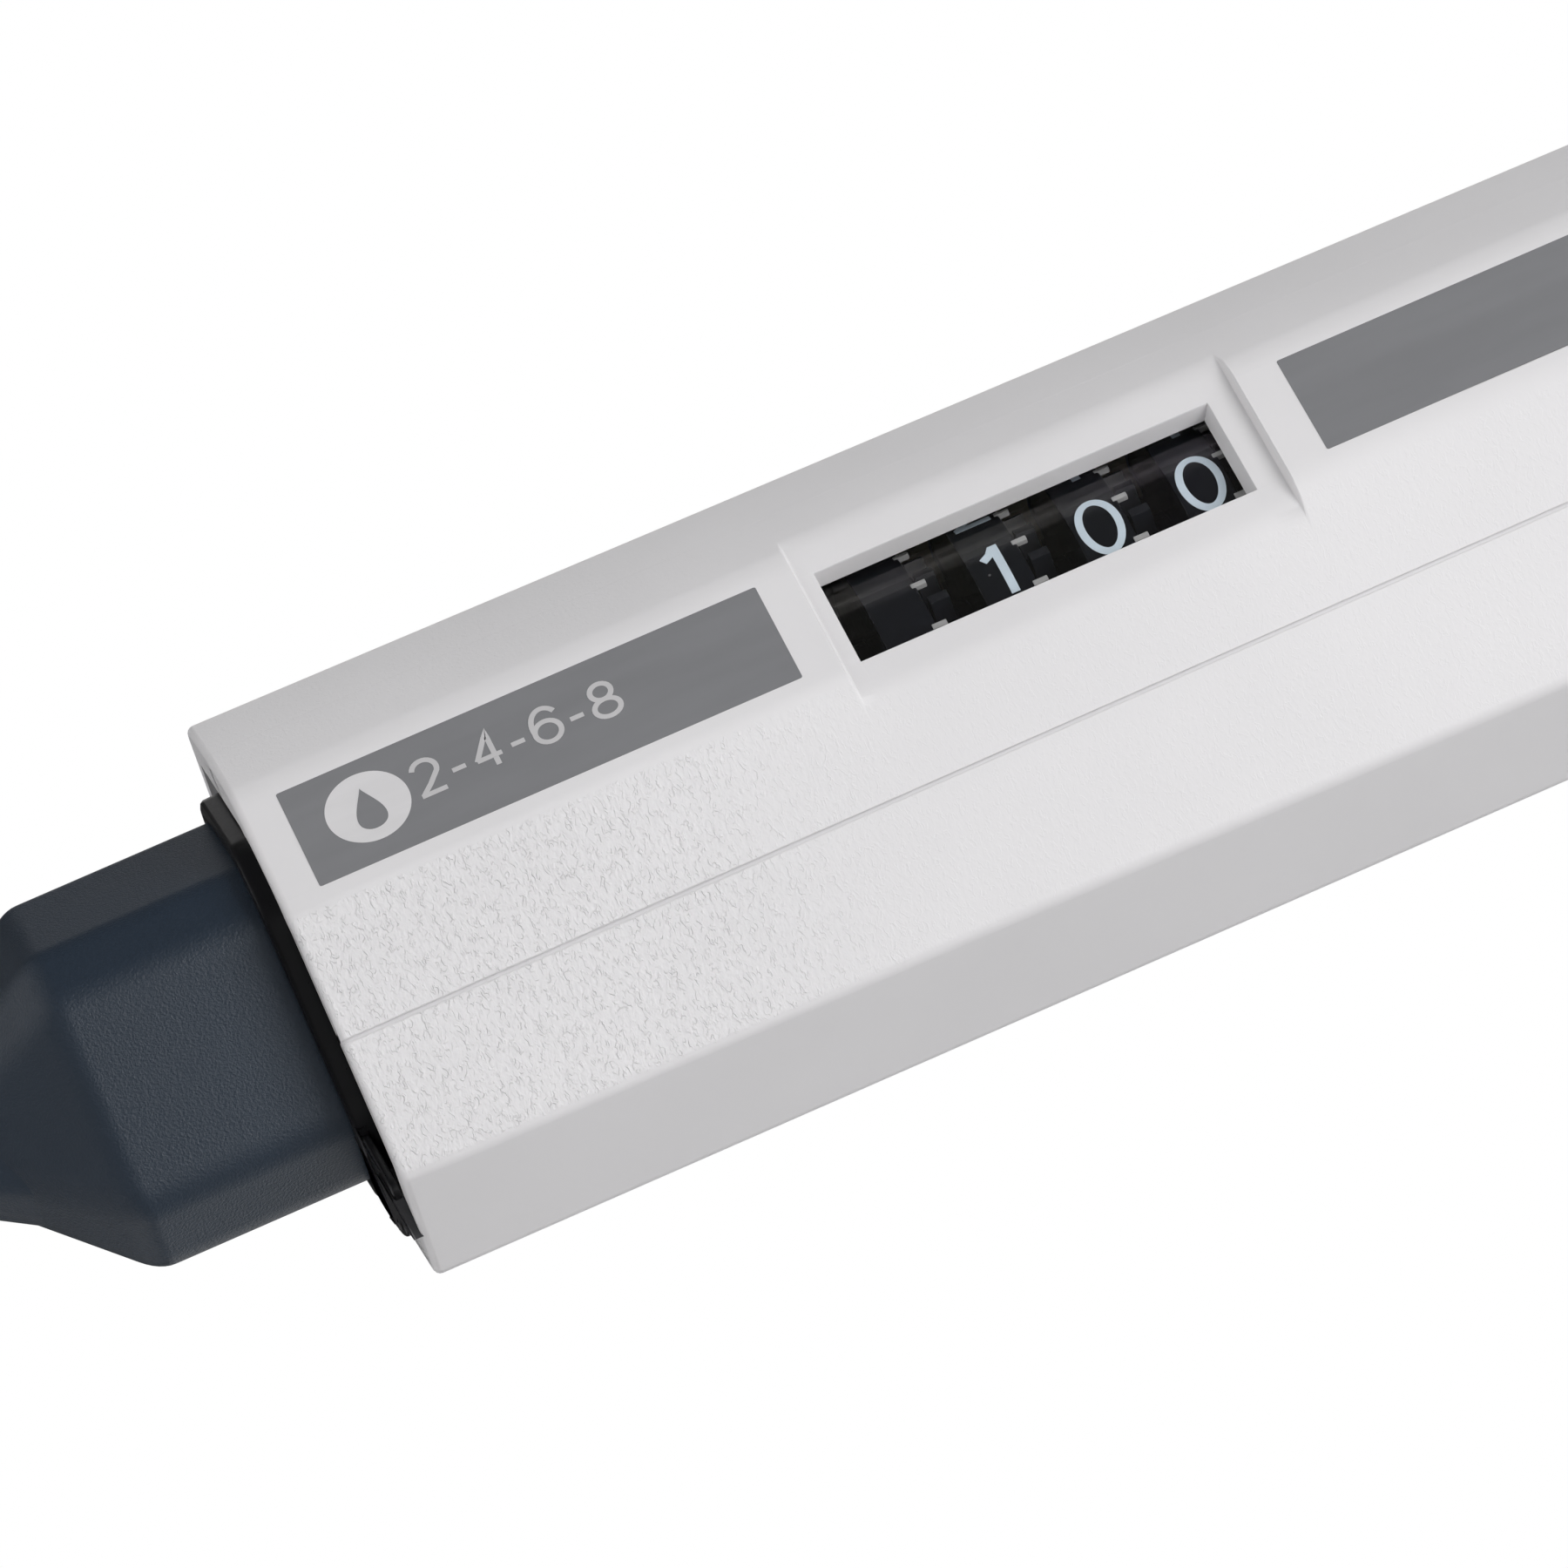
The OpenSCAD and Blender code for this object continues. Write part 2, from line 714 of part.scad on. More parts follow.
module ejector_bush() {
    color(brass) translate([eject_x, 0, 0]) ring(bush_r, eject_rod_r + slide_gap,
        frame_top_z, frame_top_z + bush_h);
}

module rod_clip() {
    color(steel) translate([eject_x, 0, 0]) ring(spring_or, eject_rod_r, clip_z, clip_z + 1.2);
}

module ejector_button() {
    inner = button_r + 0.8;
    outer = grip_w / 2 + 0.8;
    color(navy) difference() {
        hull() for (x = [inner + 2, outer - 2], y = [-5, 5], z = [[0, 0.9], [4, 0.2]])
            translate([x, y, pad_z + z.x]) cylinder(r = 2 * z.y + 0.2, h = 1, $fn = 24);
        bar(eject_rod_r, pad_z - cut, pad_z + 2, eject_x);
    }
}

// ---- Head ----

// Front view of the head, moved inward by inset
function head_outline(inset = 0) =
    let (neck_half = 14, top = head_top, foot = block_lo + 1,
         slope = atan2(shoulder_h, head_half - neck_half),
         shift = inset * tan((90 - slope) / 2), lift = inset * tan(slope / 2))
    rounded([[-head_half + inset, foot], [head_half - inset, foot],
             [head_half - inset, shoulder_z - shift], [neck_half - lift, top - inset],
             [-neck_half + lift, top - inset], [-head_half + inset, shoulder_z - shift]],
            max(2.5 - inset, 0.5));

// A slab of the head's front view between two depths
module head_slab(inset, front, back) {
    translate([0, back, 0]) rotate([90, 0, 0]) linear_extrude(back - front)
        polygon(head_outline(inset));
}

module head_case() {
    difference() {
        hull() {
            head_slab(0, -head_d / 2 + 2, head_d / 2 - 2);
            head_slab(1.4, -head_d / 2, head_d / 2);
        }
        head_slab(shell_wall, -depth_in, depth_in);
        translate([-head_in, -depth_in, block_lo]) cube([2 * head_in, 2 * depth_in, 10]);
        bore(swivel_r, head_top - shell_wall, head_top);
    }
}

boss_x = head_half / 2;
boss_z = shoulder_z + 3.5;
low_screw_x = row_half - channel_pitch / 2;
low_screw_z = (block_top + block_lo) / 2;

module head_shell_front() {
    color(shell_white) difference() {
        union() {
            intersection() {
                head_case();
                translate([-head_half, -head_d, block_lo]) cube([2 * head_half, head_d, 200]);
            }
            both_sides(boss_x) translate([0, 0, boss_z]) rotate([90, 0, 0]) cylinder(r = 2.6, h = depth_in);
        }
        both_sides(boss_x) translate([0, 0, boss_z]) rotate([90, 0, 0])
            translate([0, 0, -cut]) cylinder(r = 1.2, h = 6 + cut);
    }
}

module head_shell_back() {
    color(shell_white) difference() {
        intersection() {
            head_case();
            translate([-head_half, 0, block_lo]) cube([2 * head_half, head_d, 200]);
        }
        each_screw() {
            cylinder(r = 1.25, h = 3 * shell_wall, center = true);
            translate([0, 0, -0.5]) cylinder(r = 2.2, h = 5);
        }
    }
}

// Each shell screw stands at the outside of the back shell's wall and points inward
module each_screw() {
    for (p = [[boss_x, boss_z], [low_screw_x, low_screw_z]]) both_sides(p.x)
        translate([0, head_d / 2 - 0.8, p.y]) rotate([-90, 0, 0]) children();
}

module shell_screws() {
    color(steel) each_screw() difference() {
        union() {
            translate([0, 0, -0.5]) cylinder(r = 2.1, h = 1);
            translate([0, 0, -0.5 - 0.5]) cylinder(r = 1.2, h = 0.5);
        }
        translate([0, 0, 0]) cylinder(r = 0.8, h = 2, $fn = 6);
    }
}

module swivel_collar() {
    wall_lo = head_top - shell_wall;
    color(navy) difference() {
        union() {
            bar(swivel_r, wall_lo, swivel_top);
            bar(min(swivel_r + 1, depth_in), swivel_lo, wall_lo);
        }
        bore(nose_r + slide_gap, swivel_lo, swivel_top);
        bar(nose_r + 1.9, swivel_lo - cut, washer_top);
    }
}

module cylinder_block() {
    color(ink) difference() {
        translate([-head_in, -depth_in, block_lo])
            cube([2 * head_in, 2 * depth_in, block_top - block_lo]);
        each_channel() {
            bar(seal_r, block_top - seal_h, block_top + cut);
            bar(piston_d / 2 + 0.1, bore_lo, block_top);
            bar(stem_socket_r, block_lo - cut, block_lo + socket_h);
            bar(air_r, block_lo, bore_lo + cut);
        }
        both_sides(post_x) {
            bar(pocket_r, spring_floor, block_top + cut);
            bar(post_r, spring_floor - 3, block_top);
        }
        both_sides(low_screw_x) translate([0, depth_in + cut, low_screw_z]) rotate([90, 0, 0])
            cylinder(r = 1.2, h = 5 + cut);
    }
}

module seal_retainer() {
    color(steel) difference() {
        translate([-head_in + free_gap, -depth_in + free_gap, block_top])
            cube([2 * (head_in - free_gap), 2 * (depth_in - free_gap), retainer_t]);
        each_channel() bore(piston_d / 2 + 0.2, block_top, block_top + retainer_t);
        both_sides(post_x) bore(pocket_r, block_top, block_top + retainer_t);
    }
}

module piston_seals() {
    color(rubber) each_channel() ring(seal_r, piston_d / 2 + 0.03, block_top - seal_h, block_top);
}

module guide_posts() {
    color(steel) both_sides(post_x) bar(post_r, spring_floor - 3, bar_top + 0.4);
}

// Nozzle: stem in the block, shoulder, cone, then the cylinder that a tip grips
module nozzle(i) {
    x = (i - 1) * channel_pitch - row_half;
    r = nozzle_d / 2;
    color(cream) translate([x, 0, 0]) difference() {
        union() {
            bar(stem_socket_r, block_lo, block_lo + socket_h);
            bar(stem_socket_r + 1, block_lo - 1, block_lo);
            translate([0, 0, block_lo - 6]) cylinder(r1 = r, r2 = stem_socket_r, h = 5);
            bar(r, nozzle_lo, block_lo - 6);
        }
        bore(air_r, nozzle_lo, block_lo + socket_h);
    }
}

module piston_crossbar() {
    color(steel) difference() {
        translate([-bar_half, -4, bar_lo]) cube([2 * bar_half, 8, bar_t]);
        each_channel() bore(piston_d / 2, bar_lo, bar_top);
        both_sides(post_x) bore(post_r + slide_gap, bar_lo, bar_top);
    }
}

module pistons() {
    color(steel) each_channel() bar(piston_d / 2, piston_lo, bar_top);
}

module rod_socket() {
    color(brass) difference() {
        bar(rod_r + 1.7, bar_top, socket_top);
        bar(rod_r + 0.1, rod_lo - slide_gap, socket_top + cut);
    }
}

module ejector_yoke() {
    plate_y = head_d / 2 + free_gap;
    color(steel) difference() {
        union() {
            bar(sleeve_r + 2.6, yoke_top - yoke_t, yoke_top);
            translate([-5, 0, yoke_top - yoke_t]) cube([10, plate_y + 1.2, yoke_t]);
            translate([-5, plate_y, comb_top - comb_t]) cube([10, 1.2, yoke_top - comb_top + comb_t]);
        }
        bore(nose_r + 0.15, yoke_top - yoke_t, yoke_top);
    }
}

module ejector_comb() {
    half = row_half + channel_pitch / 2;
    color(navy) difference() {
        translate([-half, -7, comb_top - comb_t]) cube([2 * half, 7 + head_d / 2 + free_gap, comb_t]);
        each_channel() bore(stem_socket_r + 0.3, comb_top - comb_t, comb_top);
    }
}

// Moves what is drawn from the grip's lower rim to the origin half way up the grip
module from_rim() {
    translate([0, 0, -grip_h / 2]) children();
}

from_rim() front_cover();
from_rim() rear_housing();
from_rim() window_lens();
from_rim() rim_plate();
from_rim() spring_cup();
from_rim() nose_tube();
from_rim() counter_frame();
from_rim() pinion_axle();
from_rim() counter_wheel(3, drive_r + slide_gap, ink);  // blank_wheel
from_rim() carry_pinion(3);  // blank_pinion
from_rim() top_cap();
from_rim() calibration_ring();
from_rim() finger_hook();
from_rim() hook_screw();
from_rim() ejector_bush();
from_rim() thrust_washer();
from_rim() head_clip();
from_rim() main_spring();
from_rim() blowout_spring();
from_rim() ejector_spring();
from_rim() blowout_washer();
from_rim() drive_tube();
from_rim() counter_wheel(0, drive_r, ink);  // units_wheel
from_rim() counter_wheel(1, drive_r + slide_gap, ink);  // tens_wheel
from_rim() counter_wheel(2, drive_r + slide_gap, ink);  // hundreds_wheel
from_rim() carry_pinion(1);  // units_pinion
from_rim() carry_pinion(2);  // tens_pinion
from_rim() volume_nut();
from_rim() plunger_rod();
from_rim() spring_collar();
from_rim() push_button();
from_rim() button_disc();
from_rim() button_stem();
from_rim() ejector_collar();
from_rim() ejector_rod();
from_rim() rod_clip();
from_rim() ejector_button();
from_rim() swivel_collar();
from_rim() head_shell_front();
from_rim() head_shell_back();
from_rim() shell_screws();
from_rim() cylinder_block();
from_rim() seal_retainer();
from_rim() piston_seals();
from_rim() guide_posts();
from_rim() carriage_springs();
from_rim() piston_crossbar();
from_rim() rod_socket();
from_rim() pistons();
from_rim() ejector_yoke();
from_rim() ejector_comb();
for (i = [1:nozzle_count])
    from_rim() nozzle(i);
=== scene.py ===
"""Skins, finishes and studio for a multichannel pipette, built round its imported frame."""

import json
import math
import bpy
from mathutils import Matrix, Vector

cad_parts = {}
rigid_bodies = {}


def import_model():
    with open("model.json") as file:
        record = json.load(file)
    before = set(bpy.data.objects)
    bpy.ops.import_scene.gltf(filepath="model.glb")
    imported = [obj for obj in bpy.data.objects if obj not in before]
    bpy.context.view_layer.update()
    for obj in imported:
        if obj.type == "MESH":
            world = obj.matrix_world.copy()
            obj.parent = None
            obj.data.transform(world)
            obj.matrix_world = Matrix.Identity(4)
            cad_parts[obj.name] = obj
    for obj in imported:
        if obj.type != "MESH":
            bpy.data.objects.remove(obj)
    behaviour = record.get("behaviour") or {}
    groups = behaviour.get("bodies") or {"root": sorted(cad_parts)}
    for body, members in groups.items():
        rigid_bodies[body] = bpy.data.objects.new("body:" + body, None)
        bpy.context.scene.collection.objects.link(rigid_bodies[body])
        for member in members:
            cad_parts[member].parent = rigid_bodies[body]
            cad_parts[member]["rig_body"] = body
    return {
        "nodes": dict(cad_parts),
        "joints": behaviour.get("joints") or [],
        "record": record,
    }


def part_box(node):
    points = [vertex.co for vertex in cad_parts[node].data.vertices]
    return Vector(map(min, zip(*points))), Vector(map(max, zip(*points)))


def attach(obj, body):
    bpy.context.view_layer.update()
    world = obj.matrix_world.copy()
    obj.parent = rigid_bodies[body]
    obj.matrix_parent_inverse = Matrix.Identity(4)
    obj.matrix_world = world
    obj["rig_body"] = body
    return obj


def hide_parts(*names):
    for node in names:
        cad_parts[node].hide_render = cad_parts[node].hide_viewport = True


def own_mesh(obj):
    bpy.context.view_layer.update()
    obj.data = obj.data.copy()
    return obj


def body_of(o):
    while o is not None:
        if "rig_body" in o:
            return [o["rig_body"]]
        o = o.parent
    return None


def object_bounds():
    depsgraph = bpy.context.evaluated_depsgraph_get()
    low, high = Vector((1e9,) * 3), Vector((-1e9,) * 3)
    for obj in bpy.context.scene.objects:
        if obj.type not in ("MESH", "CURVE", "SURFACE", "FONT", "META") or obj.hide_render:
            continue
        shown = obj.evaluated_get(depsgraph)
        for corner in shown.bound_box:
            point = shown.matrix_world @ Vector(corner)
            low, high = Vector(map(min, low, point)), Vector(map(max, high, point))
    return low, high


bl_info = {
    "name": "Multichannel Pipette",
    "version": (1, 0, 0),
    "blender": (4, 5, 0),
    "location": "View3D > Sidebar > Pipette",
    "description": "Builds the skins, finishes and studio of a hand-held pipette",
    "category": "Add Mesh",
}

import bmesh
import bpy
from mathutils import Matrix, Vector

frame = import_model()
CAD_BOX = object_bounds()
NODES = frame["nodes"]
MM = 0.001

RIM_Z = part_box("rear_housing")[0].z
GRIP_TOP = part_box("rear_housing")[1].z
GRIP_HALF_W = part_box("rear_housing")[1].x
GRIP_HALF_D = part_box("rear_housing")[1].y
NECK_HALF_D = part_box("ejector_collar")[1].y
WHEEL_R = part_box("units_wheel")[1].x
LENS_R = -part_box("window_lens")[0].y
CHANNELS = sum(1 for node in NODES if node.startswith("nozzle_"))
CHANNEL_PITCH = 9.0 * MM


def length(name, description, default, low=0.0, high=1.0):
    """A size in metres."""
    return bpy.props.FloatProperty(
        name=name, description=description, default=default, min=low, max=high,
        precision=5, unit="LENGTH", subtype="DISTANCE",
    )


def turn(name, description, degrees):
    """An angle in radians, written in degrees."""
    return bpy.props.FloatProperty(
        name=name, description=description, default=math.radians(degrees), subtype="ANGLE"
    )


def share(name, description, default, high=1.0):
    """A plain number from nothing up to high."""
    return bpy.props.FloatProperty(
        name=name, description=description, default=default, min=0.0, max=high, subtype="FACTOR"
    )


def colour(name, description, default):
    """A scene linear colour."""
    return bpy.props.FloatVectorProperty(
        name=name, description=description, default=default, size=3, min=0.0, max=1.0,
        subtype="COLOR",
    )


class PipetteGrip(bpy.types.PropertyGroup):
    """Sizes of the eight-sided grip."""

    front_flat: length("Front Flat", "Half width of the front flat", 4.6 * MM)
    side_front: length("Side Front", "How far the side flat reaches forward at the rim", 3.83 * MM)
    side_back: length("Side Back", "How far the side flat reaches back", 5.29 * MM)
    side_draft: length("Side Draft", "How much the side flat narrows up to the top", 1.5 * MM)
    back_flat: length("Back Flat", "Half width of the back flat", 7.37 * MM)
    edge: length("Edge", "Rounding of the side and back edges", 0.9 * MM)
    front_edge: length("Front Edge", "Rounding of the right front edge at the rim", 0.8 * MM)
    front_top: length("Front Edge Top", "Rounding of the right front edge higher up", 3.4 * MM)
    front_rise: length("Front Edge Rise", "Height from which that rounding is full", 70 * MM)
    soft_edge: length("Soft Edge", "Rounding of the left front edge", 3.3 * MM)
    crown: length("Crown", "How far the left front facet bulges", 0.42 * MM)
    crown_end: length("Crown End", "Length over which the bulge ends at the top", 14 * MM)
    wall: length("Wall", "Thickness of the wall", 2.0 * MM)
    lip: length("Lip", "Rounding of the ends of the wall", 0.42 * MM)
    seam: length("Seam", "Width of the parting line on the right", 0.19 * MM)
    seam_tight: length("Tight Seam", "Width of the parting line on the left", 0.012 * MM)
    seam_depth: length("Seam Depth", "Depth of the parting line", 0.24 * MM)
    grain_low: length("Grain Low", "Height up to which the facets are fully grained", 16 * MM)
    grain_high: length("Grain High", "Height from which the grain is fine", 36 * MM)
    seam_low: share("Seam Low", "Place of the parting line across its facet at the rim", 0.474)
    seam_high: share("Seam High", "Place of the parting line across its facet at the top", 0.42)


class PipetteWindow(bpy.types.PropertyGroup):
    """Sizes of the volume window, with heights above the rim."""

    half_width: length("Half Width", "Half the width of the opening", 3.35 * MM)
    low: length("Low", "Height of the lower end of the opening", 33.4 * MM)
    high: length("High", "Height of the upper end of the opening", 56.45 * MM)
    depth: length("Depth", "Depth of the recess round the opening", 0.8 * MM)
    below: length("Below", "Length of the recess below the opening", 1.0 * MM)
    above: length("Above", "Length of the recess above the opening", 1.75 * MM)
    step: length("Step", "Length of the slope at the ends of the recess", 0.25 * MM)
    edge: length("Edge", "Rounding of the edges of the opening", 0.12 * MM)
    wall: length("Wall", "Depth of the opening's sides", 1.3 * MM)
    draft: length("Draft", "Lean of the opening's upper end", 0.35 * MM)


class PipetteCounter(bpy.types.PropertyGroup):
    """Sizes of the digit wheels."""

    band: length("Band", "Width of the band that carries the digits", 3.0 * MM)
    digit_height: length("Digit Height", "Height of a digit", 4.0 * MM)
    digit_width: length("Digit Width", "Width of a digit", 2.5 * MM)
    stroke: length("Stroke", "Width of a digit's stroke", 0.43 * MM)
    teeth: bpy.props.IntProperty(name="Teeth", description="Teeth on a wheel", default=20)


class PipetteNeck(bpy.types.PropertyGroup):
    """Sizes of the neck below the rim."""

    straight: length("Straight", "Length of the neck's straight part", 13.2 * MM)
    taper: length("Taper", "Height of the taper", 6.9 * MM)
    side_flat: length("Side Flat", "Half the depth of the side flat", 2.9 * MM)
    front_flat: length("Front Flat", "Half width of the front flat", 1.75 * MM)
    sleeve: length("Sleeve", "Radius of the sleeve below the taper", 3.9 * MM)
    edge: length("Edge", "Rounding of the long edges", 2.8 * MM)
    wall: length("Wall", "Thickness of the neck's wall", 1.5 * MM)
    flange: length("Flange", "How far the rim plate's flange stands round the neck", 1.2 * MM)


class PipetteHead(bpy.types.PropertyGroup):
    """Sizes of the multichannel head."""

    shoulder: length("Shoulder", "Height of the sloping shoulders", 16 * MM)
    neck: length("Neck", "Half width of the head's top", 14 * MM)
    wall: length("Wall", "Thickness of the shells' walls", 1.8 * MM)


class PipetteFinish(bpy.types.PropertyGroup):
    """Colours of the finishes."""

    shell: colour("Shell", "Light grey moulded plastic", (0.73, 0.72, 0.732))
    navy: colour("Navy", "Dark blue moulded plastic", (0.0150, 0.0270, 0.0455))
    black: colour("Black", "Black moulded plastic", (0.010, 0.010, 0.012))
    drum: colour("Drum", "Glossy black of the digit wheels", (0.006, 0.007, 0.010))
    digit: colour("Digit", "Paint of the digits", (0.62, 0.72, 0.80))
    print_grey: colour("Print", "Grey of the printed panels", (0.205, 0.207, 0.217))
    resin: colour("Resin", "Natural moulded resin", (0.70, 0.66, 0.56))
    steel: colour("Steel", "Ground stainless steel", (0.58, 0.58, 0.59))
    brass: colour("Brass", "Turned brass", (0.60, 0.43, 0.17))
    rubber: colour("Rubber", "Moulded seal", (0.02, 0.02, 0.022))


class PipetteStudio(bpy.types.PropertyGroup):
    """Camera, lamps and surroundings."""

    azimuth: turn("Azimuth", "Camera's direction, turned from the front", 37.63)
    elevation: turn("Elevation", "Camera's height above the horizon", -5.45)
    roll: turn("Roll", "Camera's turn about its line of sight", 66.49)
    distance: length("Distance", "Camera's distance from its target", 603 * MM)
    target_z: length("Target", "Height of the camera's target", -27.9 * MM, low=-1.0)
    lens: bpy.props.FloatProperty(
        name="Lens", description="Focal length", default=256.7, unit="CAMERA"
    )
    ambient: share("Ambient", "Strength of the surroundings on dull surfaces", 0.27, 4.0)
    key: share("Key", "Level of the key lamp on a surface that faces it", 0.68, 4.0)
    side: share("Side", "Level of the side lamp", 0.16, 4.0)
    back: share("Back", "Level of the lamp behind", 0.5, 4.0)
    top: share("Top", "Level of the lamp above", 0.40, 4.0)


GROUPS = {
    "pipette_grip": PipetteGrip,
    "pipette_window": PipetteWindow,
    "pipette_counter": PipetteCounter,
    "pipette_neck": PipetteNeck,
    "pipette_head": PipetteHead,
    "pipette_finish": PipetteFinish,
    "pipette_studio": PipetteStudio,
}


# ---- Outlines: lists of points in the plane, anticlockwise seen from above ----


def corner_arc(before, corner, after, radius, steps):
    """Points of the arc that rounds a corner between its neighbours."""
    to_before = (before - corner).normalized()
    to_after = (after - corner).normalized()
    half = to_before.angle(to_after) / 2
    centre = corner + (to_before + to_after).normalized() * radius / math.sin(half)
    start = corner + to_before * radius / math.tan(half) - centre
    swing = math.pi - 2 * half
    if to_before.cross(to_after) > 0:
        swing = -swing
    return [
        centre + Matrix.Rotation(swing * k / steps, 2) @ start for k in range(steps + 1)
    ]


def rounded(corners, radius, steps=6):
    """A closed outline with every corner rounded, all alike or each by its own radius."""
    n = len(corners)
    radii = radius if isinstance(radius, list) else [radius] * n
    return [
        point
        for i in range(n)
        for point in corner_arc(
            corners[i - 1], corners[i], corners[(i + 1) % n], radii[i], steps
        )
    ]


def moved_in(corners, inset):
    """A convex closed outline with each side moved inward."""
    n = len(corners)
    sides = []
    for i in range(n):
        a, b = corners[i], corners[(i + 1) % n]
        along = (b - a).normalized()
        sides.append((a + Vector((-along.y, along.x)) * inset, along))
    result = []
    for i in range(n):
        (p, u), (q, v) = sides[i - 1], sides[i]
        result.append(p + u * ((q - p).cross(v) / u.cross(v)))
    return result


def normals_of(points, closed=False):
    """Outward normals of an anticlockwise outline at its points."""
    n = len(points)
    result = []
    for i in range(n):
        before = points[i - 1] if i or closed else points[0]
        after = points[(i + 1) % n] if i < n - 1 or closed else points[-1]
        along = (after - before).normalized()
        result.append(Vector((along.y, -along.x)))
    return result


def spread(low, high, step):
    """Evenly spaced values after low and before high."""
    count = max(1, round(abs(high - low) / step))
    return [low + (high - low) * k / count for k in range(1, count)]


# ---- Meshes ----


def piece(name, verts, faces, body, slot, stands_for=(), smooth=True, weighted=True):
    """A mesh object that moves with a body and stands for CAD nodes."""
    mesh = bpy.data.meshes.new(name)
    mesh.from_pydata([tuple(v) for v in verts], [], faces)
    mesh.validate()
    obj = bpy.data.objects.new(name, mesh)
    bpy.context.scene.collection.objects.link(obj)
    return settle(obj, body, stands_for, smooth, weighted)


def settle(obj, body, stands_for=(), smooth=True, weighted=True):
    """Shades a mesh object and ties it to the frame."""
    obj.data.shade_smooth() if smooth else obj.data.shade_flat()
    if smooth:
        obj.data.set_sharp_from_angle(angle=math.radians(35))
    if smooth and weighted:
        obj.modifiers.new("Even Normals", "WEIGHTED_NORMAL").keep_sharp = True
    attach(obj, body)
    if stands_for:
        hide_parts(*stands_for)
    return obj


def recalculate(mesh, merge=0.002 * MM):
    """Merges doubles and points the faces outward."""
    bm = bmesh.new()
    bm.from_mesh(mesh)
    bmesh.ops.remove_doubles(bm, verts=bm.verts, dist=merge)
    bmesh.ops.recalc_face_normals(bm, faces=bm.faces)
    bm.to_mesh(mesh)
    bm.free()


def sleeve_faces(rows, columns, closed=True, skip=lambda row, column: False):
    """Quads between neighbouring rows of points."""
    last = columns if closed else columns - 1
    return [
        (
            row * columns + k,
            row * columns + (k + 1) % columns,
            (row + 1) * columns + (k + 1) % columns,
            (row + 1) * columns + k,
        )
        for row in range(rows - 1)
        for k in range(last)
        if not skip(row, k)
    ]


def loft(name, rings, body, slot, stands_for=(), cap=True, joined=False, **keep):
    """A skin over closed rings that have as many points each."""
    columns = len(rings[0])
    verts = [point for ring in rings for point in ring]
    if joined:
        rings = rings + rings[:1]
    faces = sleeve_faces(len(rings), columns)
    if joined:
        total = len(verts)
        faces = [tuple(i % total for i in face) for face in faces]
    elif cap:
        faces.append(tuple(range(columns))[::-1])
        faces.append(tuple(range((len(rings) - 1) * columns, len(rings) * columns)))
    obj = piece(name, verts, faces, body, slot, stands_for, **keep)
    recalculate(obj.data)
    return obj


def level(outline, z, centre=(0.0, 0.0)):
    """An outline in space at a height."""
    return [Vector((p.x + centre[0], p.y + centre[1], z)) for p in outline]


def circle(radius, steps=96):
    """A round outline."""
    return [
        Vector((radius * math.cos(a), radius * math.sin(a)))
        for a in (math.tau * k / steps for k in range(steps))
    ]


def lathe(name, profile, body, slot, stands_for=(), centre=(0.0, 0.0), steps=96, **keep):
    """A closed profile of radii and heights turned about an upright axis."""
    rings = [level(circle(r, steps), z, centre) for r, z in profile]
    return loft(name, rings, body, slot, stands_for, joined=True, **keep)


def softened(profile, radius, steps=4):
    """A closed profile whose corners are rounded, each as far as its sides allow."""
    points = [Vector(p) for p in profile]
    result = []
    n = len(points)
    for i in range(n):
        before, corner, after = points[i - 1], points[i], points[(i + 1) % n]
        a, b = (before - corner).normalized(), (after - corner).normalized()
        half = a.angle(b) / 2
        room = 0.45 * min((before - corner).length, (after - corner).length)
        fit = min(radius, room * math.tan(half))
        if half > math.radians(86):
            result.append(tuple(corner))
        else:
            result += [tuple(p) for p in corner_arc(before, corner, after, fit, steps)]
    return result


def end_rounding(lip, steps=4):
    """Heights and insets of a wall's rounded end, from the end inward."""
    angles = [math.pi / 2 * k / steps for k in range(steps + 1)]
    return [(lip * (1 - math.cos(a)), lip * (1 - math.sin(a))) for a in angles]


def shrunk(outline, inset):
    """A closed outline drawn in along its normals."""
    return [p - n * inset for p, n in zip(outline, normals_of(outline, closed=True))]


def upright(point, height):
    """A flat point at a height above the plane."""
    return Vector((point.x, point.y, height))


def frontal(point, height):
    """A point of a front view at a place along the Y axis."""
    return Vector((point.x, height, point.y))


def slab(name, outline, low, high, round_low, round_high, place, body, slot, stands_for=(),
         shift=None, **keep):
    """A plate over an outline with rounded edges; place puts a point and height in space."""
    shape = shift or shrunk
    rows = [(low + rise, inset) for rise, inset in end_rounding(round_low)]
    rows += [(high - rise, inset) for rise, inset in reversed(end_rounding(round_high))]
    rings = [[place(p, height) for p in shape(outline, inset)] for height, inset in rows]
    return loft(name, rings, body, slot, stands_for, **keep)


# ---- Shader maths ----


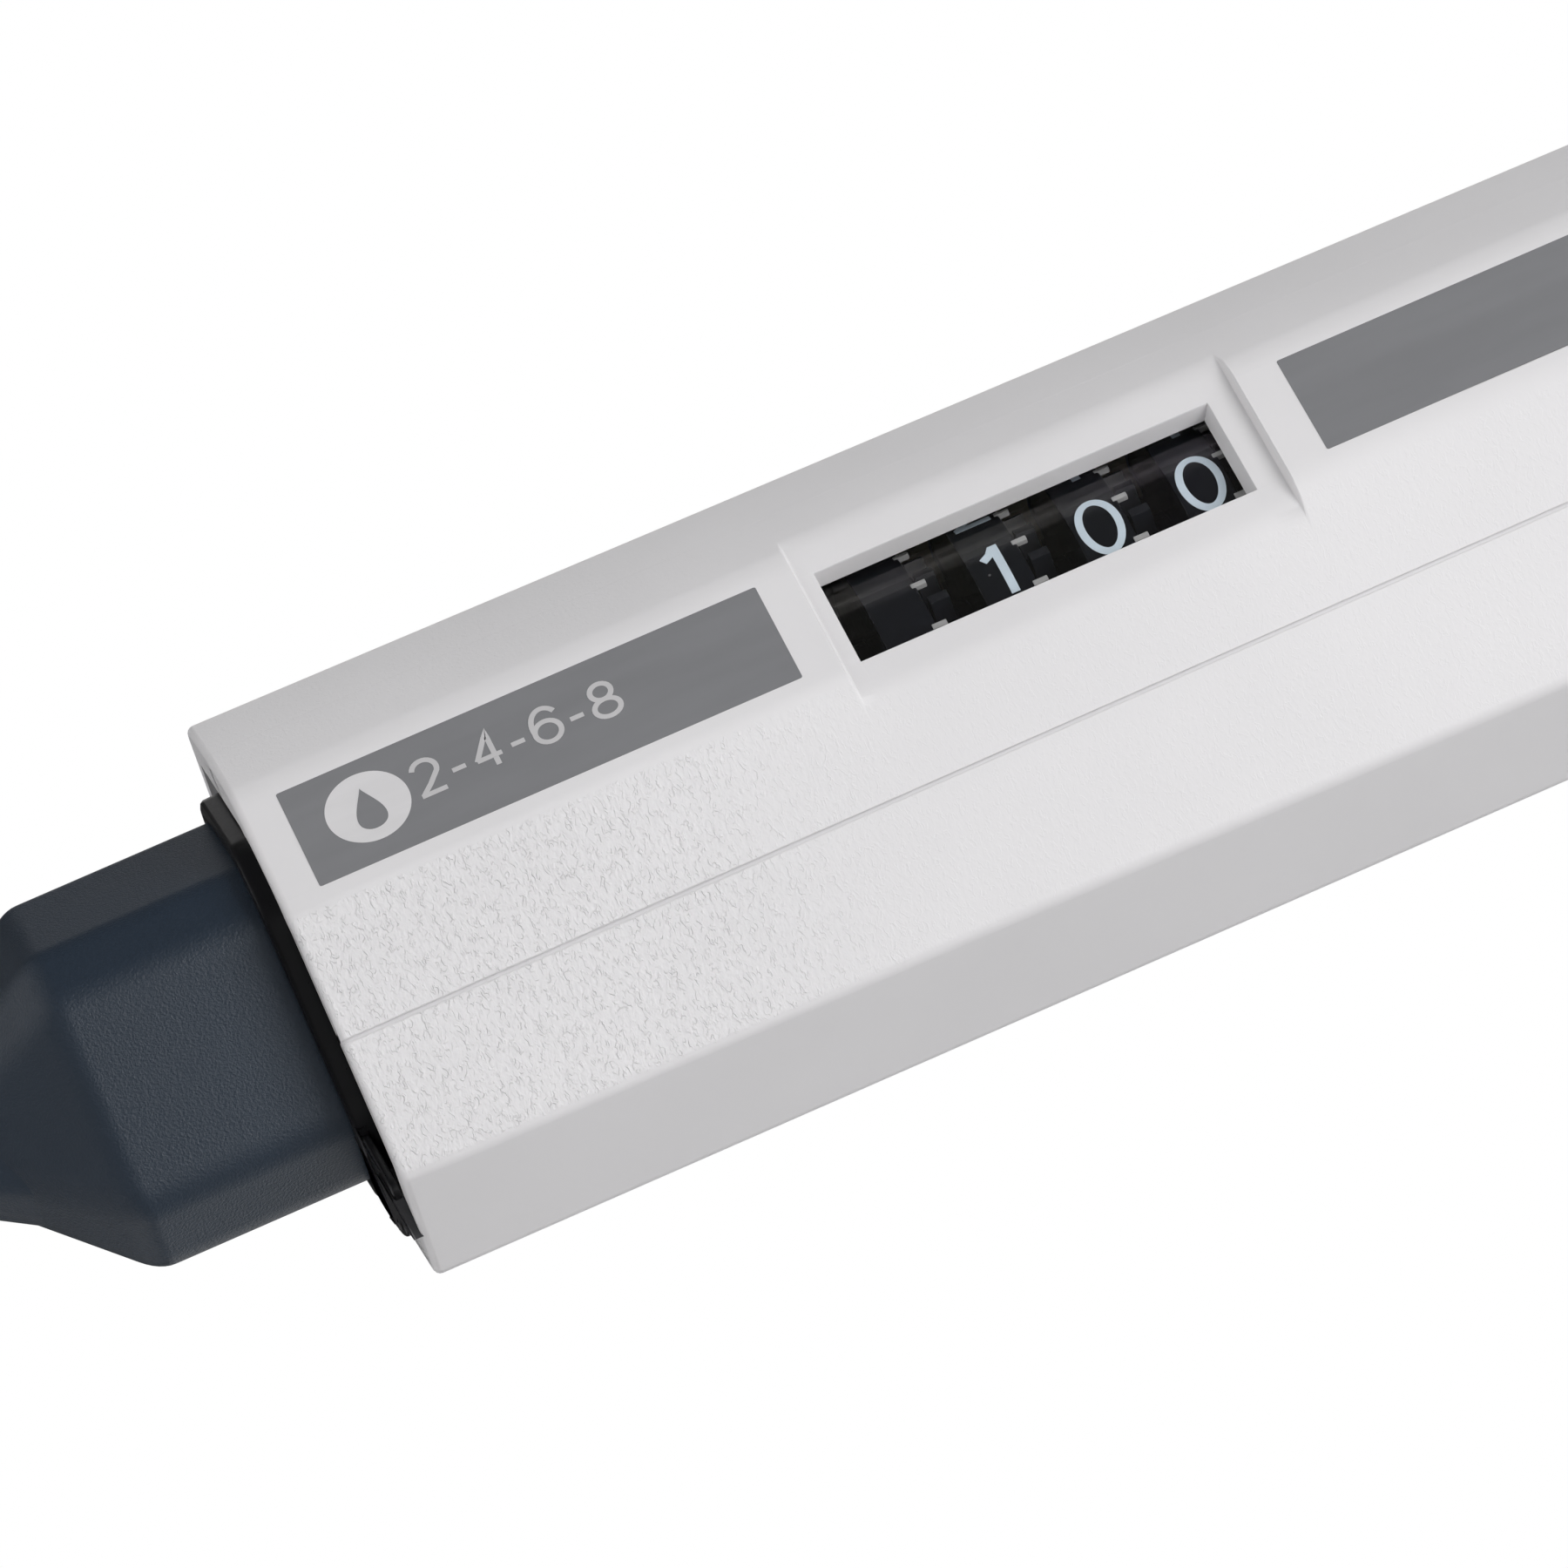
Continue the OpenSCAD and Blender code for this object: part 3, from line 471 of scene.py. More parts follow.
class Shade:
    """A node tree and one socket in it, with arithmetic that adds Math nodes."""

    def __init__(self, tree, socket=None):
        self.tree, self.socket = tree, socket

    def node(self, kind, inputs=None, out=0, stops=None, **settings):
        """Adds a node: its settings first, then the values or links of its sockets."""
        made = self.tree.nodes.new("ShaderNode" + kind)
        for key, value in settings.items():
            setattr(made, key, value)
        if stops:
            ramp = made.color_ramp.elements
            while len(ramp) > 1:
                ramp.remove(ramp[0])
            for k, (place, level_) in enumerate(stops):
                stop = ramp[0] if k == 0 else ramp.new(place)
                stop.position = place
                stop.color = (level_, level_, level_, 1.0)
        for key, value in (inputs or {}).items():
            self.feed(made.inputs[key], value)
        return Shade(self.tree, made.outputs[out])

    def feed(self, socket, value):
        """Links a socket or sets its own value."""
        if isinstance(value, Shade):
            self.tree.links.new(value.socket, socket)
        elif hasattr(socket.default_value, "__len__") and len(socket.default_value) == 4:
            socket.default_value = (*value[:3], 1.0)
        else:
            socket.default_value = value

    def math(self, operation, *values):
        return self.node("Math", dict(enumerate(values)), operation=operation)

    def __add__(self, other):
        return self.math("ADD", self, other)

    __radd__ = __add__

    def __sub__(self, other):
        return self.math("SUBTRACT", self, other)

    def __rsub__(self, other):
        return self.math("SUBTRACT", other, self)

    def __mul__(self, other):
        return self.math("MULTIPLY", self, other)

    __rmul__ = __mul__

    def __truediv__(self, other):
        return self.math("DIVIDE", self, other)

    def above(self, edge, soft):
        """From 0 below edge to 1 above it, over twice soft."""
        return self.node(
            "MapRange",
            {"Value": self, "From Min": edge - soft, "From Max": edge + soft},
            interpolation_type="SMOOTHSTEP",
        )

    def mix(self, low, high):
        """Colour low where this is 0, high where it is 1."""
        return self.node(
            "Mix", {0: self, 6: low, 7: high}, out=2, data_type="RGBA", clamp_factor=True
        )

    def noise(self, scale, vector, detail=2.0, roughness=0.5):
        """Noise whose scale is in lumps a metre."""
        return self.node(
            "TexNoise",
            {"Vector": vector, "Scale": scale, "Detail": detail, "Roughness": roughness},
        )

    def bump(self, height, distance, strength=1.0, normal=None):
        """A bump of the given height in metres."""
        inputs = {"Height": height, "Distance": distance, "Strength": strength}
        if normal is not None:
            inputs["Normal"] = normal
        return self.node("Bump", inputs)


def tint(base, factor):
    """A colour made lighter or darker."""
    return tuple(min(1.0, c * factor) for c in base)


def finish(name, **constants):
    """A material with one shader; returns it, its tree's maths and the shader."""
    material = bpy.data.materials.new(name)
    material.use_nodes = True
    tree = material.node_tree
    shader = tree.nodes["Principled BSDF"]
    for key, value in constants.items():
        shader.inputs[key.replace("_", " ")].default_value = value
    return material, Shade(tree), shader


def places(maths):
    """Object coordinates."""
    return maths.node("TexCoord", out="Object")


def moulded(name, base, roughness, grain=0.006 * MM, specular=0.5, dust=0.25, fineness=3800.0):
    """Moulded plastic: fine spark-eroded grain, faint flow clouds, specks of dust."""
    material, maths, shader = finish(name, Specular_IOR_Level=specular)
    where = places(maths)
    fine = maths.noise(fineness, where, detail=3.0, roughness=0.6)
    clouds = maths.noise(55.0, where, detail=2.0)
    cells = maths.node(
        "TexVoronoi", {"Vector": where, "Scale": 260.0, "Randomness": 1.0}, feature="F1"
    )
    speck = 1 - cells.above(0.05, 0.02)
    some = maths.noise(140.0, where).above(0.63, 0.02)
    dusty = speck * some * dust
    shade = clouds.above(0.5, 0.3).mix(tint(base, 0.95), tint(base, 1.05))
    dirt = tuple(min(1.0, 0.5 * c + 0.28) for c in base)
    maths.feed(shader.inputs["Base Color"], dusty.mix(shade, dirt))
    maths.feed(shader.inputs["Roughness"], fine * 0.12 + (roughness - 0.06))
    maths.feed(shader.inputs["Normal"], maths.bump(fine, grain))
    return material


def grip_plastic(name, base, textured):
    """Shell plastic: smooth flats and, where textured, worm-like moulded grain."""
    material, maths, shader = finish(name, Specular_IOR_Level=0.4)
    where = places(maths)
    fine = maths.noise(5200.0, where, detail=2.0)
    clouds = maths.noise(60.0, where, detail=2.0)
    shade = clouds.above(0.5, 0.35).mix(tint(base, 0.97), tint(base, 1.02))
    height = fine * 0.06
    if textured:
        mask = maths.node("Attribute", out="Fac", attribute_name="grain")
        wrap = maths.node("Attribute", out="Vector", attribute_name="wrap")
        worms = maths.noise(1.0, wrap, detail=1.2, roughness=0.5)
        broken = maths.noise(0.7, wrap, detail=1.0).above(0.54, 0.12)
        lines = 1 - maths.math("ABSOLUTE", worms - 0.5).above(0.045, 0.04)
        pits = maths.noise(2.6, wrap, detail=1.0)
        ridges = lines * broken * 0.9 + worms.above(0.5, 0.2) * 0.4 + pits * 0.3
        height = height + ridges * mask
    maths.feed(shader.inputs["Base Color"], shade)
    maths.feed(shader.inputs["Roughness"], clouds * 0.1 + 0.42)
    maths.feed(shader.inputs["Normal"], maths.bump(height, 0.045 * MM))
    return material


def metal(name, base, roughness, brushed=(1.0, 1.0, 0.06)):
    """Ground or turned metal with fine tool marks."""
    material, maths, shader = finish(name, Metallic=1.0)
    where = maths.node("Mapping", {"Vector": places(maths), "Scale": brushed})
    marks = maths.noise(9000.0, where, detail=4.0, roughness=0.65)
    clouds = maths.noise(120.0, places(maths))
    shade = clouds.above(0.5, 0.3).mix(tint(base, 0.9), tint(base, 1.08))
    maths.feed(shader.inputs["Base Color"], shade)
    maths.feed(shader.inputs["Roughness"], marks * 0.2 + (roughness - 0.1))
    maths.feed(shader.inputs["Normal"], maths.bump(marks, 0.004 * MM))
    return material


def printed(name, base):
    """Pad-printed ink: near flat, with worn pinholes and faint streaks."""
    material, maths, shader = finish(name, Specular_IOR_Level=0.35)
    where = places(maths)
    streaks = maths.noise(
        700.0, maths.node("Mapping", {"Vector": where, "Scale": (1.0, 1.0, 0.15)}), detail=3.0
    )
    pin = maths.node("TexVoronoi", {"Vector": where, "Scale": 420.0}, feature="F1")
    worn = (1 - pin.above(0.045, 0.02)) * maths.noise(90.0, where).above(0.56, 0.03)
    shade = streaks.above(0.5, 0.3).mix(tint(base, 0.96), tint(base, 1.04))
    pale = tuple(0.5 * c + 0.3 for c in base)
    maths.feed(shader.inputs["Base Color"], (worn * 0.7).mix(shade, pale))
    maths.feed(shader.inputs["Roughness"], streaks * 0.15 + 0.42)
    maths.feed(shader.inputs["Normal"], maths.bump(streaks, 0.003 * MM))
    return material


def gloss(name, base, roughness=0.16, specular=0.35):
    """Polished hard plastic with faint wipe marks and dust."""
    material, maths, shader = finish(name, Specular_IOR_Level=specular)
    where = places(maths)
    wipes = maths.noise(900.0, where, detail=3.0)
    cells = maths.node("TexVoronoi", {"Vector": where, "Scale": 900.0}, feature="F1")
    speck = (1 - cells.above(0.07, 0.02)) * maths.noise(400.0, where).above(0.6, 0.02)
    dirt = tuple(c + 0.16 for c in base)
    maths.feed(shader.inputs["Base Color"], (speck * 0.6).mix(tint(base, 1.0), dirt))
    maths.feed(shader.inputs["Roughness"], wipes * 0.1 + (roughness - 0.05))
    maths.feed(shader.inputs["Normal"], maths.bump(wipes, 0.002 * MM))
    return material


def clear_plastic(name):
    """Clear moulded lens: a mirror as strong as clear plastic's reflection, open elsewhere."""
    material, maths, shader = finish(name, Metallic=1.0)
    where = places(maths)
    cast = maths.noise(110.0, where, detail=1.0)
    haze = maths.noise(1500.0, where, detail=3.0)
    maths.feed(
        shader.inputs["Base Color"],
        cast.above(0.5, 0.2).mix((0.82, 0.76, 0.84), (0.84, 0.86, 0.74)),
    )
    maths.feed(shader.inputs["Roughness"], haze * 0.06 + 0.02)
    maths.feed(shader.inputs["Normal"], maths.bump(haze, 0.0006 * MM))
    facing = maths.node("LayerWeight", {"Blend": 0.5}, out="Facing")
    glancing = facing.math("POWER", facing, 5.0)
    maths.feed(shader.inputs["Alpha"], glancing * 0.95 + haze * 0.03 + 0.03)
    return material


FINISHES = {}


def coat(obj, key):
    """Gives a piece its one finish."""
    obj.data.materials.clear()
    obj.data.materials.append(FINISHES[key])
    return obj


class PIPETTE_OT_finishes(bpy.types.Operator):
    """Make the finishes and put them on the CAD nodes"""

    bl_idname = "pipette.finishes"
    bl_label = "Finishes"

    def execute(self, context):
        tones = context.scene.pipette_finish
        shell, navy, black = tuple(tones.shell), tuple(tones.navy), tuple(tones.black)
        FINISHES.update(
            textured_shell=grip_plastic("textured_shell", shell, True),
            smooth_shell=grip_plastic("smooth_shell", shell, False),
            navy=moulded(
                "navy_plastic", navy, 0.45, grain=0.05 * MM, specular=0.6, fineness=6500.0
            ),
            black=moulded("black_plastic", black, 0.5, specular=0.3, dust=0.15),
            trim=moulded(
                "trim_plastic", tint(black, 0.7), 0.3, grain=0.001 * MM, specular=0.3, dust=0.04
            ),
            drum=gloss("drum_plastic", tuple(tones.drum)),
            digit=printed("digit_paint", tuple(tones.digit)),
            panel=printed("panel_print", tuple(tones.print_grey)),
            knockout=printed("knockout", tint(shell, 0.9)),
            numeral=printed("numeral_print", tint(shell, 0.72)),
            tooth=moulded("tooth_plastic", tint(tuple(tones.drum), 1.8), 0.4, dust=0.1),
            # light grey tabs on the wheels: painted highlight for light caught by small chamfers
            tab=moulded("tab_painted_highlight", (0.42, 0.42, 0.42), 0.4, dust=0.1),
            tongue=moulded("tongue_plastic", tint(black, 2.0), 0.36, dust=0.1),
            lens=clear_plastic("clear_plastic"),
            resin=moulded("natural_resin", tuple(tones.resin), 0.45, dust=0.1),
            steel=metal("ground_steel", tuple(tones.steel), 0.32),
            brass=metal("turned_brass", tuple(tones.brass), 0.30, (0.06, 0.06, 1.0)),
            rubber=moulded("seal_rubber", tuple(tones.rubber), 0.75, dust=0.2),
        )
        for name, slot_key in (
            ("shell", "smooth_shell"), ("navy", "navy"), ("black", "black"), ("lens", "lens"),
            ("resin", "resin"), ("brass", "brass"), ("steel", "steel"), ("rubber", "rubber"),
        ):
            for row in frame["record"]["subparts"]:
                if row["material_slot"] == name:
                    coat(NODES[row["node"]], slot_key)
        return {"FINISHED"}


# ---- Grip ----


def grip_corners(grip, height):
    """Corners of the grip's right half at a height above the rim, from front to back."""
    side_front = -grip.side_front + grip.side_draft * height / (GRIP_TOP - RIM_Z)
    return [
        Vector((grip.front_flat, -GRIP_HALF_D)),
        Vector((GRIP_HALF_W, side_front)),
        Vector((GRIP_HALF_W, grip.side_back)),
        Vector((grip.back_flat, GRIP_HALF_D)),
    ]


def grip_outline(grip, height, inset=0.0):
    """The grip's whole outline."""
    right = grip_corners(grip, height)
    left = [Vector((-p.x, p.y)) for p in reversed(right)]
    return rounded(moved_in(right + left, inset), max(grip.edge - inset, 0.3 * MM))


def seam_point(grip, height):
    """Middle of the parting line at a height, and the way along its facet."""
    low, high = grip_corners(grip, height)[:2]
    place = grip.seam_low + (grip.seam_high - grip.seam_low) * height / (GRIP_TOP - RIM_Z)
    return low.lerp(high, place), (high - low).normalized()


def open_outline(corners, radii, extra, steps=6):
    """An open outline: its ends, rounded corners, and extra points along each side."""
    points = [corners[0]]
    for i in range(1, len(corners)):
        arc = None
        if i < len(corners) - 1 and radii[i]:
            arc = corner_arc(corners[i - 1], corners[i], corners[i + 1], radii[i], steps)
        stop = arc[0] if arc else corners[i]
        start = points[-1]
        for place in extra[i - 1]:
            points.append(start.lerp(stop, place) if isinstance(place, float) else place)
        points += arc if arc else [corners[i]]
    return points


def tenths(count):
    """Even shares of a side, without its ends."""
    return [k / count for k in range(1, count)]


def cover_half(grip, window, height, inset, depth, side, wall=0.0):
    """Half of the cover's section, from the middle of the front to the parting line."""
    gap, bend, crown = side
    facet = grip_corners(grip, height)[:2]
    seam, along = seam_point(grip, height)
    inward = Vector((-along.y, along.x))
    slide = depth * along.x / along.y
    flat = facet[0] + Vector((slide, depth))
    edge = seam - along * gap / 2
    if wall:
        start = Vector((0.0, -GRIP_HALF_D + wall))
        corner = moved_in(
            [Vector((-1.0, -GRIP_HALF_D)), facet[0], facet[1], Vector((GRIP_HALF_W, 1.0))], wall
        )[1]
        last = edge + inward * wall
        corners = [start, corner, last + inward * 0.001 * MM, last]
        radii = [0, 0.2 * MM, 0.0003 * MM, 0]
    else:
        start = Vector((0.0, flat.y))
        corners = [start, flat, edge, edge + inward * grip.seam_depth]
        radii = [0, bend, 0.4 * gap, 0]
        if inset:
            corners = [start + Vector((0, inset)), flat + Vector((-inset * 0.3, inset)),
                       edge + inward * inset, edge + inward * (grip.seam_depth + inset)]
    y = corners[0].y
    half, rim = window.half_width, window.edge
    across = [half * k / 5 for k in range(1, 5)] + [half, half + 0.4 * rim, half + rim]
    extra = [[Vector((x, y)) for x in across], tenths(5), []]
    points = open_outline(corners, radii, extra)
    return points if wall else bulged(points, grip, height, crown)


def bulged(points, grip, height, crown):
    """A half section whose points on the front facet are pushed out."""
    low, high = grip_corners(grip, height)[:2]
    along = high - low
    out = Vector((along.y, -along.x)).normalized()
    crown *= min(1.0, (GRIP_TOP - RIM_Z - height) / grip.crown_end)
    result = []
    for p in points:
        t = (p - low).dot(along) / along.length_squared
        result.append(p + out * crown * 4 * t * (1 - t) if 0 < t < 1 else p)
    return result


def window_drop(window, x, height):
    """How far the rounded edge of the opening drops."""
    gap = max(abs(x) - window.half_width, window.low - height, height - window.high)
    near = max(0.0, min(1.0, 1 - gap / window.edge))
    return window.edge * (1 - math.sqrt(1 - near * near)) if near < 1 else window.edge


def recess_depth(window, height):
    """Depth of the recess round the window at a height."""
    low = window.low - window.below
    high = window.high + window.above
    up = min(1.0, max(0.0, (height - low) / window.step + 0.5))
    down = min(1.0, max(0.0, (high - height) / window.step + 0.5))
    t = min(up, down)
    return window.depth * t * t * (3 - 2 * t)


def grip_levels(grip, window=None):
    """Heights above the rim at which the grip is drawn, with the inset of each."""
    total = GRIP_TOP - RIM_Z
    ends = end_rounding(grip.lip)
    marks = [grip.lip]
    if window:
        for edge in (window.low - window.below, window.high + window.above):
            marks += [edge + window.step * (k / 6 - 0.5) for k in range(7)]
        rim = window.edge
        marks += [window.low - rim, window.low - 0.4 * rim, window.low]
        marks += [window.high, window.high + 0.4 * rim, window.high + rim]
    marks = sorted(marks) + [total - grip.lip]
    heights = [marks[0]]
    for low, high in zip(marks, marks[1:]):
        heights += spread(low, high, 3.0 * MM) + [high]
    rows = list(ends[:-1]) + [(h, 0.0) for h in heights]
    return rows + [(total - h, inset) for h, inset in reversed(ends[:-1])]


def joined_halves(make, grip, height):
    """A section from its halves, which start in the middle and differ in seam and edge."""
    up = min(1.0, height / grip.front_rise)
    bend = grip.front_edge + (grip.front_top - grip.front_edge) * up
    right = make((grip.seam, bend, 0.0))
    left = make((grip.seam_tight, grip.soft_edge, grip.crown))
    return [Vector((-p.x, p.y)) for p in reversed(left[1:])] + right


def strip(name, outer, inner, body, slot, stands_for, hole=lambda row, k: False):
    """A wall between two grids of points; hole tells which cells are open."""
    rows, columns = len(outer), len(outer[0])
    verts = [p for row in outer for p in row] + [p for row in inner for p in row]
    back = rows * columns
    faces = []

    def at(row, k, side=0):
        return side * back + row * columns + k

    for row in range(rows - 1):
        for k in range(columns - 1):
            if hole(row, k):
                continue
            faces.append((at(row, k), at(row, k + 1), at(row + 1, k + 1), at(row + 1, k)))
            faces.append(
                (at(row, k, 1), at(row + 1, k, 1), at(row + 1, k + 1, 1), at(row, k + 1, 1))
            )
            for (r, c), (a, b) in (
                ((row, k - 1), ((row, k), (row + 1, k))),
                ((row, k + 1), ((row + 1, k + 1), (row, k + 1))),
                ((row - 1, k), ((row, k + 1), (row, k))),
                ((row + 1, k), ((row + 1, k), (row + 1, k + 1))),
            ):
                outside = not (0 <= r < rows - 1 and 0 <= c < columns - 1)
                if outside or hole(r, c):
                    faces.append((at(*a), at(*b), at(*b, 1), at(*a, 1)))
    return piece(name, verts, faces, body, slot, stands_for)


def mark_surface(obj, count, columns, grain):
    """Stores how grainy each outer point is, and its place on the unrolled surface."""
    mesh = obj.data
    mask = mesh.attributes.new("grain", "FLOAT", "POINT")
    wrap = mesh.attributes.new("wrap", "FLOAT_VECTOR", "POINT")
    run = 0.0
    long, short = 0.42 * MM, 0.27 * MM
    for i in range(count):
        co = mesh.vertices[i].co
        if i % columns:
            before = mesh.vertices[i - 1].co
            run += (co.xy - before.xy).length
        else:
            run = 0.0
        mask.data[i].value = grain[i]
        wrap.data[i].vector = (run / long, co.z / short, 0.0)


def graininess(grip, section, height):
    """How grainy the points of a section are: none on the flats, fading up the facets."""
    t = (height - grip.grain_low) / (grip.grain_high - grip.grain_low)
    t = max(0.0, min(1.0, t))
    fade = 1 - 0.88 * t * t * (3 - 2 * t)
    result = []
    for point, normal in zip(section, normals_of(section)):
        slant = abs(abs(normal.x) - 0.588)
        worn = 0.2 if point.x < 0 and point.y < 0 else 1.0
        result.append(max(0.0, min(1.0, 1.6 - slant / 0.12)) * fade * worn)
    return result


class PIPETTE_OT_grip(bpy.types.Operator):
    """Make the front cover with its window recess, and the rear housing"""

    bl_idname = "pipette.grip"
    bl_label = "Grip"

    def execute(self, context):
        grip, window = context.scene.pipette_grip, context.scene.pipette_window
        levels = grip_levels(grip, window)
        outer, inner, grain = [], [], []
        for height, inset in levels:
            depth = recess_depth(window, height)
            section = joined_halves(
                lambda side: cover_half(grip, window, height, inset, depth, side), grip, height
            )
            grain += graininess(grip, section, height)
            outer.append([
                Vector((p.x, p.y + self.drop(window, p, height), RIM_Z + height)) for p in section
            ])
            section = joined_halves(
                lambda side: cover_half(grip, window, height, 0.0, 0.0, side, grip.wall),
                grip, height,
            )
            inner.append([self.inner_point(window, p, height) for p in section])
        columns = len(outer[0])
        tiny = 0.001 * MM

        def hole(row, k):
            if not (0 <= row < len(levels) - 1 and 0 <= k < columns - 1):
                return False
            middle = (levels[row][0] + levels[row + 1][0]) / 2
            x = (outer[row][k].x + outer[row][k + 1].x) / 2
            inside = abs(x) < window.half_width - tiny
            return inside and window.low < middle < window.high

        cover = strip(
            "grip_cover", outer, inner, "handle", "shell", ["front_cover"], hole
        )
        mark_surface(cover, len(grain), columns, grain)
        coat(cover, "textured_shell")
        self.housing(grip)
        return {"FINISHED"}

    @staticmethod
    def drop(window, point, height):
        """How far the rounded edge of the opening lowers a point of the recess floor."""
        if point.y > -GRIP_HALF_D + window.depth + window.edge:
            return 0.0
        return window_drop(window, point.x, height)

    @staticmethod
    def inner_point(window, point, height):
        """A point of the cover's inside, drawn back to the lens at the opening's edge."""
        x, y = point
        tiny = 0.001 * MM
        at_edge = abs(abs(x) - window.half_width) < tiny or abs(x) < window.half_width
        if at_edge and window.low - tiny < height < window.high + tiny:
            y = window.depth + window.wall - GRIP_HALF_D
            if abs(height - window.high) < tiny:
                height -= window.draft
        return Vector((x, y, RIM_Z + height))

    @staticmethod
    def housing_half(grip, height, inset, gap):
        """Half of the housing's section, outside and inside, from the lip to the back."""
        corners = grip_corners(grip, height)
        seam, along = seam_point(grip, height)
        inward = Vector((-along.y, along.x))
        edge = seam + along * gap / 2 + inward * inset
        floor = edge + inward * grip.seam_depth
        reach = gap + 0.5 * MM
        whole = [Vector((-1.0, -GRIP_HALF_D))] + corners + [Vector((-1.0, GRIP_HALF_D))]
        spaces = [[], [], tenths(5), tenths(4), tenths(6), tenths(4)]
        outside = open_outline(
            [floor - along * reach, floor, edge] + moved_in(whole, inset)[2:5]
            + [Vector((0.0, GRIP_HALF_D - inset))],
            [0, 0, 0.4 * gap] + [grip.edge] * 3 + [0], spaces,
        )
        deep = edge + inward * (grip.wall - inset)
        inside = open_outline(
            [deep - along * reach, deep - along * 0.01 * MM, deep]
            + moved_in(whole, grip.wall)[2:5] + [Vector((0.0, GRIP_HALF_D - grip.wall))],
            [0, 0, 0.0003 * MM] + [0.3 * MM] * 3 + [0], spaces,
        )
        return outside, inside

    def housing(self, grip):
        """The rear housing, whose lip closes the bottom of the parting line."""
        outer, inner, grain = [], [], []
        for height, inset in grip_levels(grip):
            right = self.housing_half(grip, height, inset, grip.seam)
            left = self.housing_half(grip, height, inset, grip.seam_tight)
            left = (bulged(left[0], grip, height, grip.crown), left[1])
            for k, rows in enumerate((outer, inner)):
                full = right[k] + [Vector((-p.x, p.y)) for p in reversed(left[k][:-1])]
                if k == 0:
                    grain += graininess(grip, full, height)
                rows.append([Vector((p.x, p.y, RIM_Z + height)) for p in full])
        housing = strip(
            "grip_housing", outer, inner, "handle", "shell", ["rear_housing"]
        )
        mark_surface(housing, len(grain), len(outer[0]), grain)
        coat(housing, "textured_shell")


# ---- Printed panels and numerals ----


def bow(cx, cy, rx, ry, start, stop, steps=14):
    """Points along an arc of an ellipse, angles in degrees."""
    angles = [math.radians(start + (stop - start) * k / steps) for k in range(steps + 1)]
    return [(cx + rx * math.cos(a), cy + ry * math.sin(a)) for a in angles]


def numeral(sign):
    """Centre lines of a plain numeral's strokes in a box one wide and one high."""
    six = [bow(0.5, 0.31, 0.5, 0.31, 90, 450, 28), bow(0.56, 0.5, 0.56, 0.5, 38, 195, 18)]
    strokes = {
        "0": [bow(0.5, 0.5, 0.5, 0.5, 90, 450, 36)],
        "1": [[(0.62, 1.0), (0.62, 0.0)], [(0.60, 0.97), (0.45, 0.83), (0.2, 0.74)]],
        "2": [bow(0.49, 0.71, 0.47, 0.29, 165, -28) + [(0.5, 0.27), (0.06, 0.0)],
              [(0.0, 0.0), (1.0, 0.0)]],
        "3": [bow(0.46, 0.76, 0.42, 0.24, 155, -90), bow(0.46, 0.26, 0.5, 0.26, 90, -155)],
        "4": [[(0.72, 0.0), (0.72, 1.0), (0.02, 0.3)], [(0.02, 0.3), (1.0, 0.3)]],
        "5": [[(0.92, 1.0), (0.2, 1.0), (0.1, 0.5)], bow(0.47, 0.32, 0.5, 0.32, 148, -158, 20)],
        "6": six,
        "7": [[(0.0, 1.0), (1.0, 1.0), (0.6, 0.5), (0.36, 0.0)]],
        "8": [bow(0.5, 0.76, 0.4, 0.24, 90, 450, 24), bow(0.5, 0.26, 0.5, 0.26, 90, 450, 24)],
        "9": [[(1 - x, 1 - y) for x, y in stroke] for stroke in six],
        "-": [[(0.1, 0.36), (0.9, 0.36)]],
    }
    return strokes[sign]


def cell(sign):
    """Width of a sign as a share of a numeral's, and weight of its strokes."""
    return {"-": (0.72, 1.0), "1": (1.0, 1.15)}.get(sign, (1.0, 1.0))


def ribbon(stroke, width, step=0.35 * MM):
    """Quads of even width along a centre line, as points and faces."""
    path = [Vector(stroke[0])]
    for a, b in zip(stroke, stroke[1:]):
        a, b = Vector(a), Vector(b)
        count = max(1, math.ceil((b - a).length / step))
        path += [a.lerp(b, k / count) for k in range(1, count + 1)]
    closed = (path[0] - path[-1]).length < 1e-9
    if closed:
        path = path[:-1]
    n = len(path)
    verts = []
    for i, p in enumerate(path):
        before = path[i - 1] if i or closed else path[0]
        after = path[(i + 1) % n] if i < n - 1 or closed else path[-1]
        a = (p - before).normalized() if (p - before).length > 1e-9 else None
        b = (after - p).normalized() if (after - p).length > 1e-9 else None
        a, b = a or b, b or a
        across = (a + b).normalized()
        across = Vector((-across.y, across.x))
        mitre = 1 / max(0.45, across.dot(Vector((-b.y, b.x))))
        verts += [p + across * width / 2 * mitre, p - across * width / 2 * mitre]
    spans = n if closed else n - 1
    faces = []
    for i in range(spans):
        j = (i + 1) % n
        faces.append((2 * i, 2 * i + 1, 2 * j + 1, 2 * j))
    return verts, faces


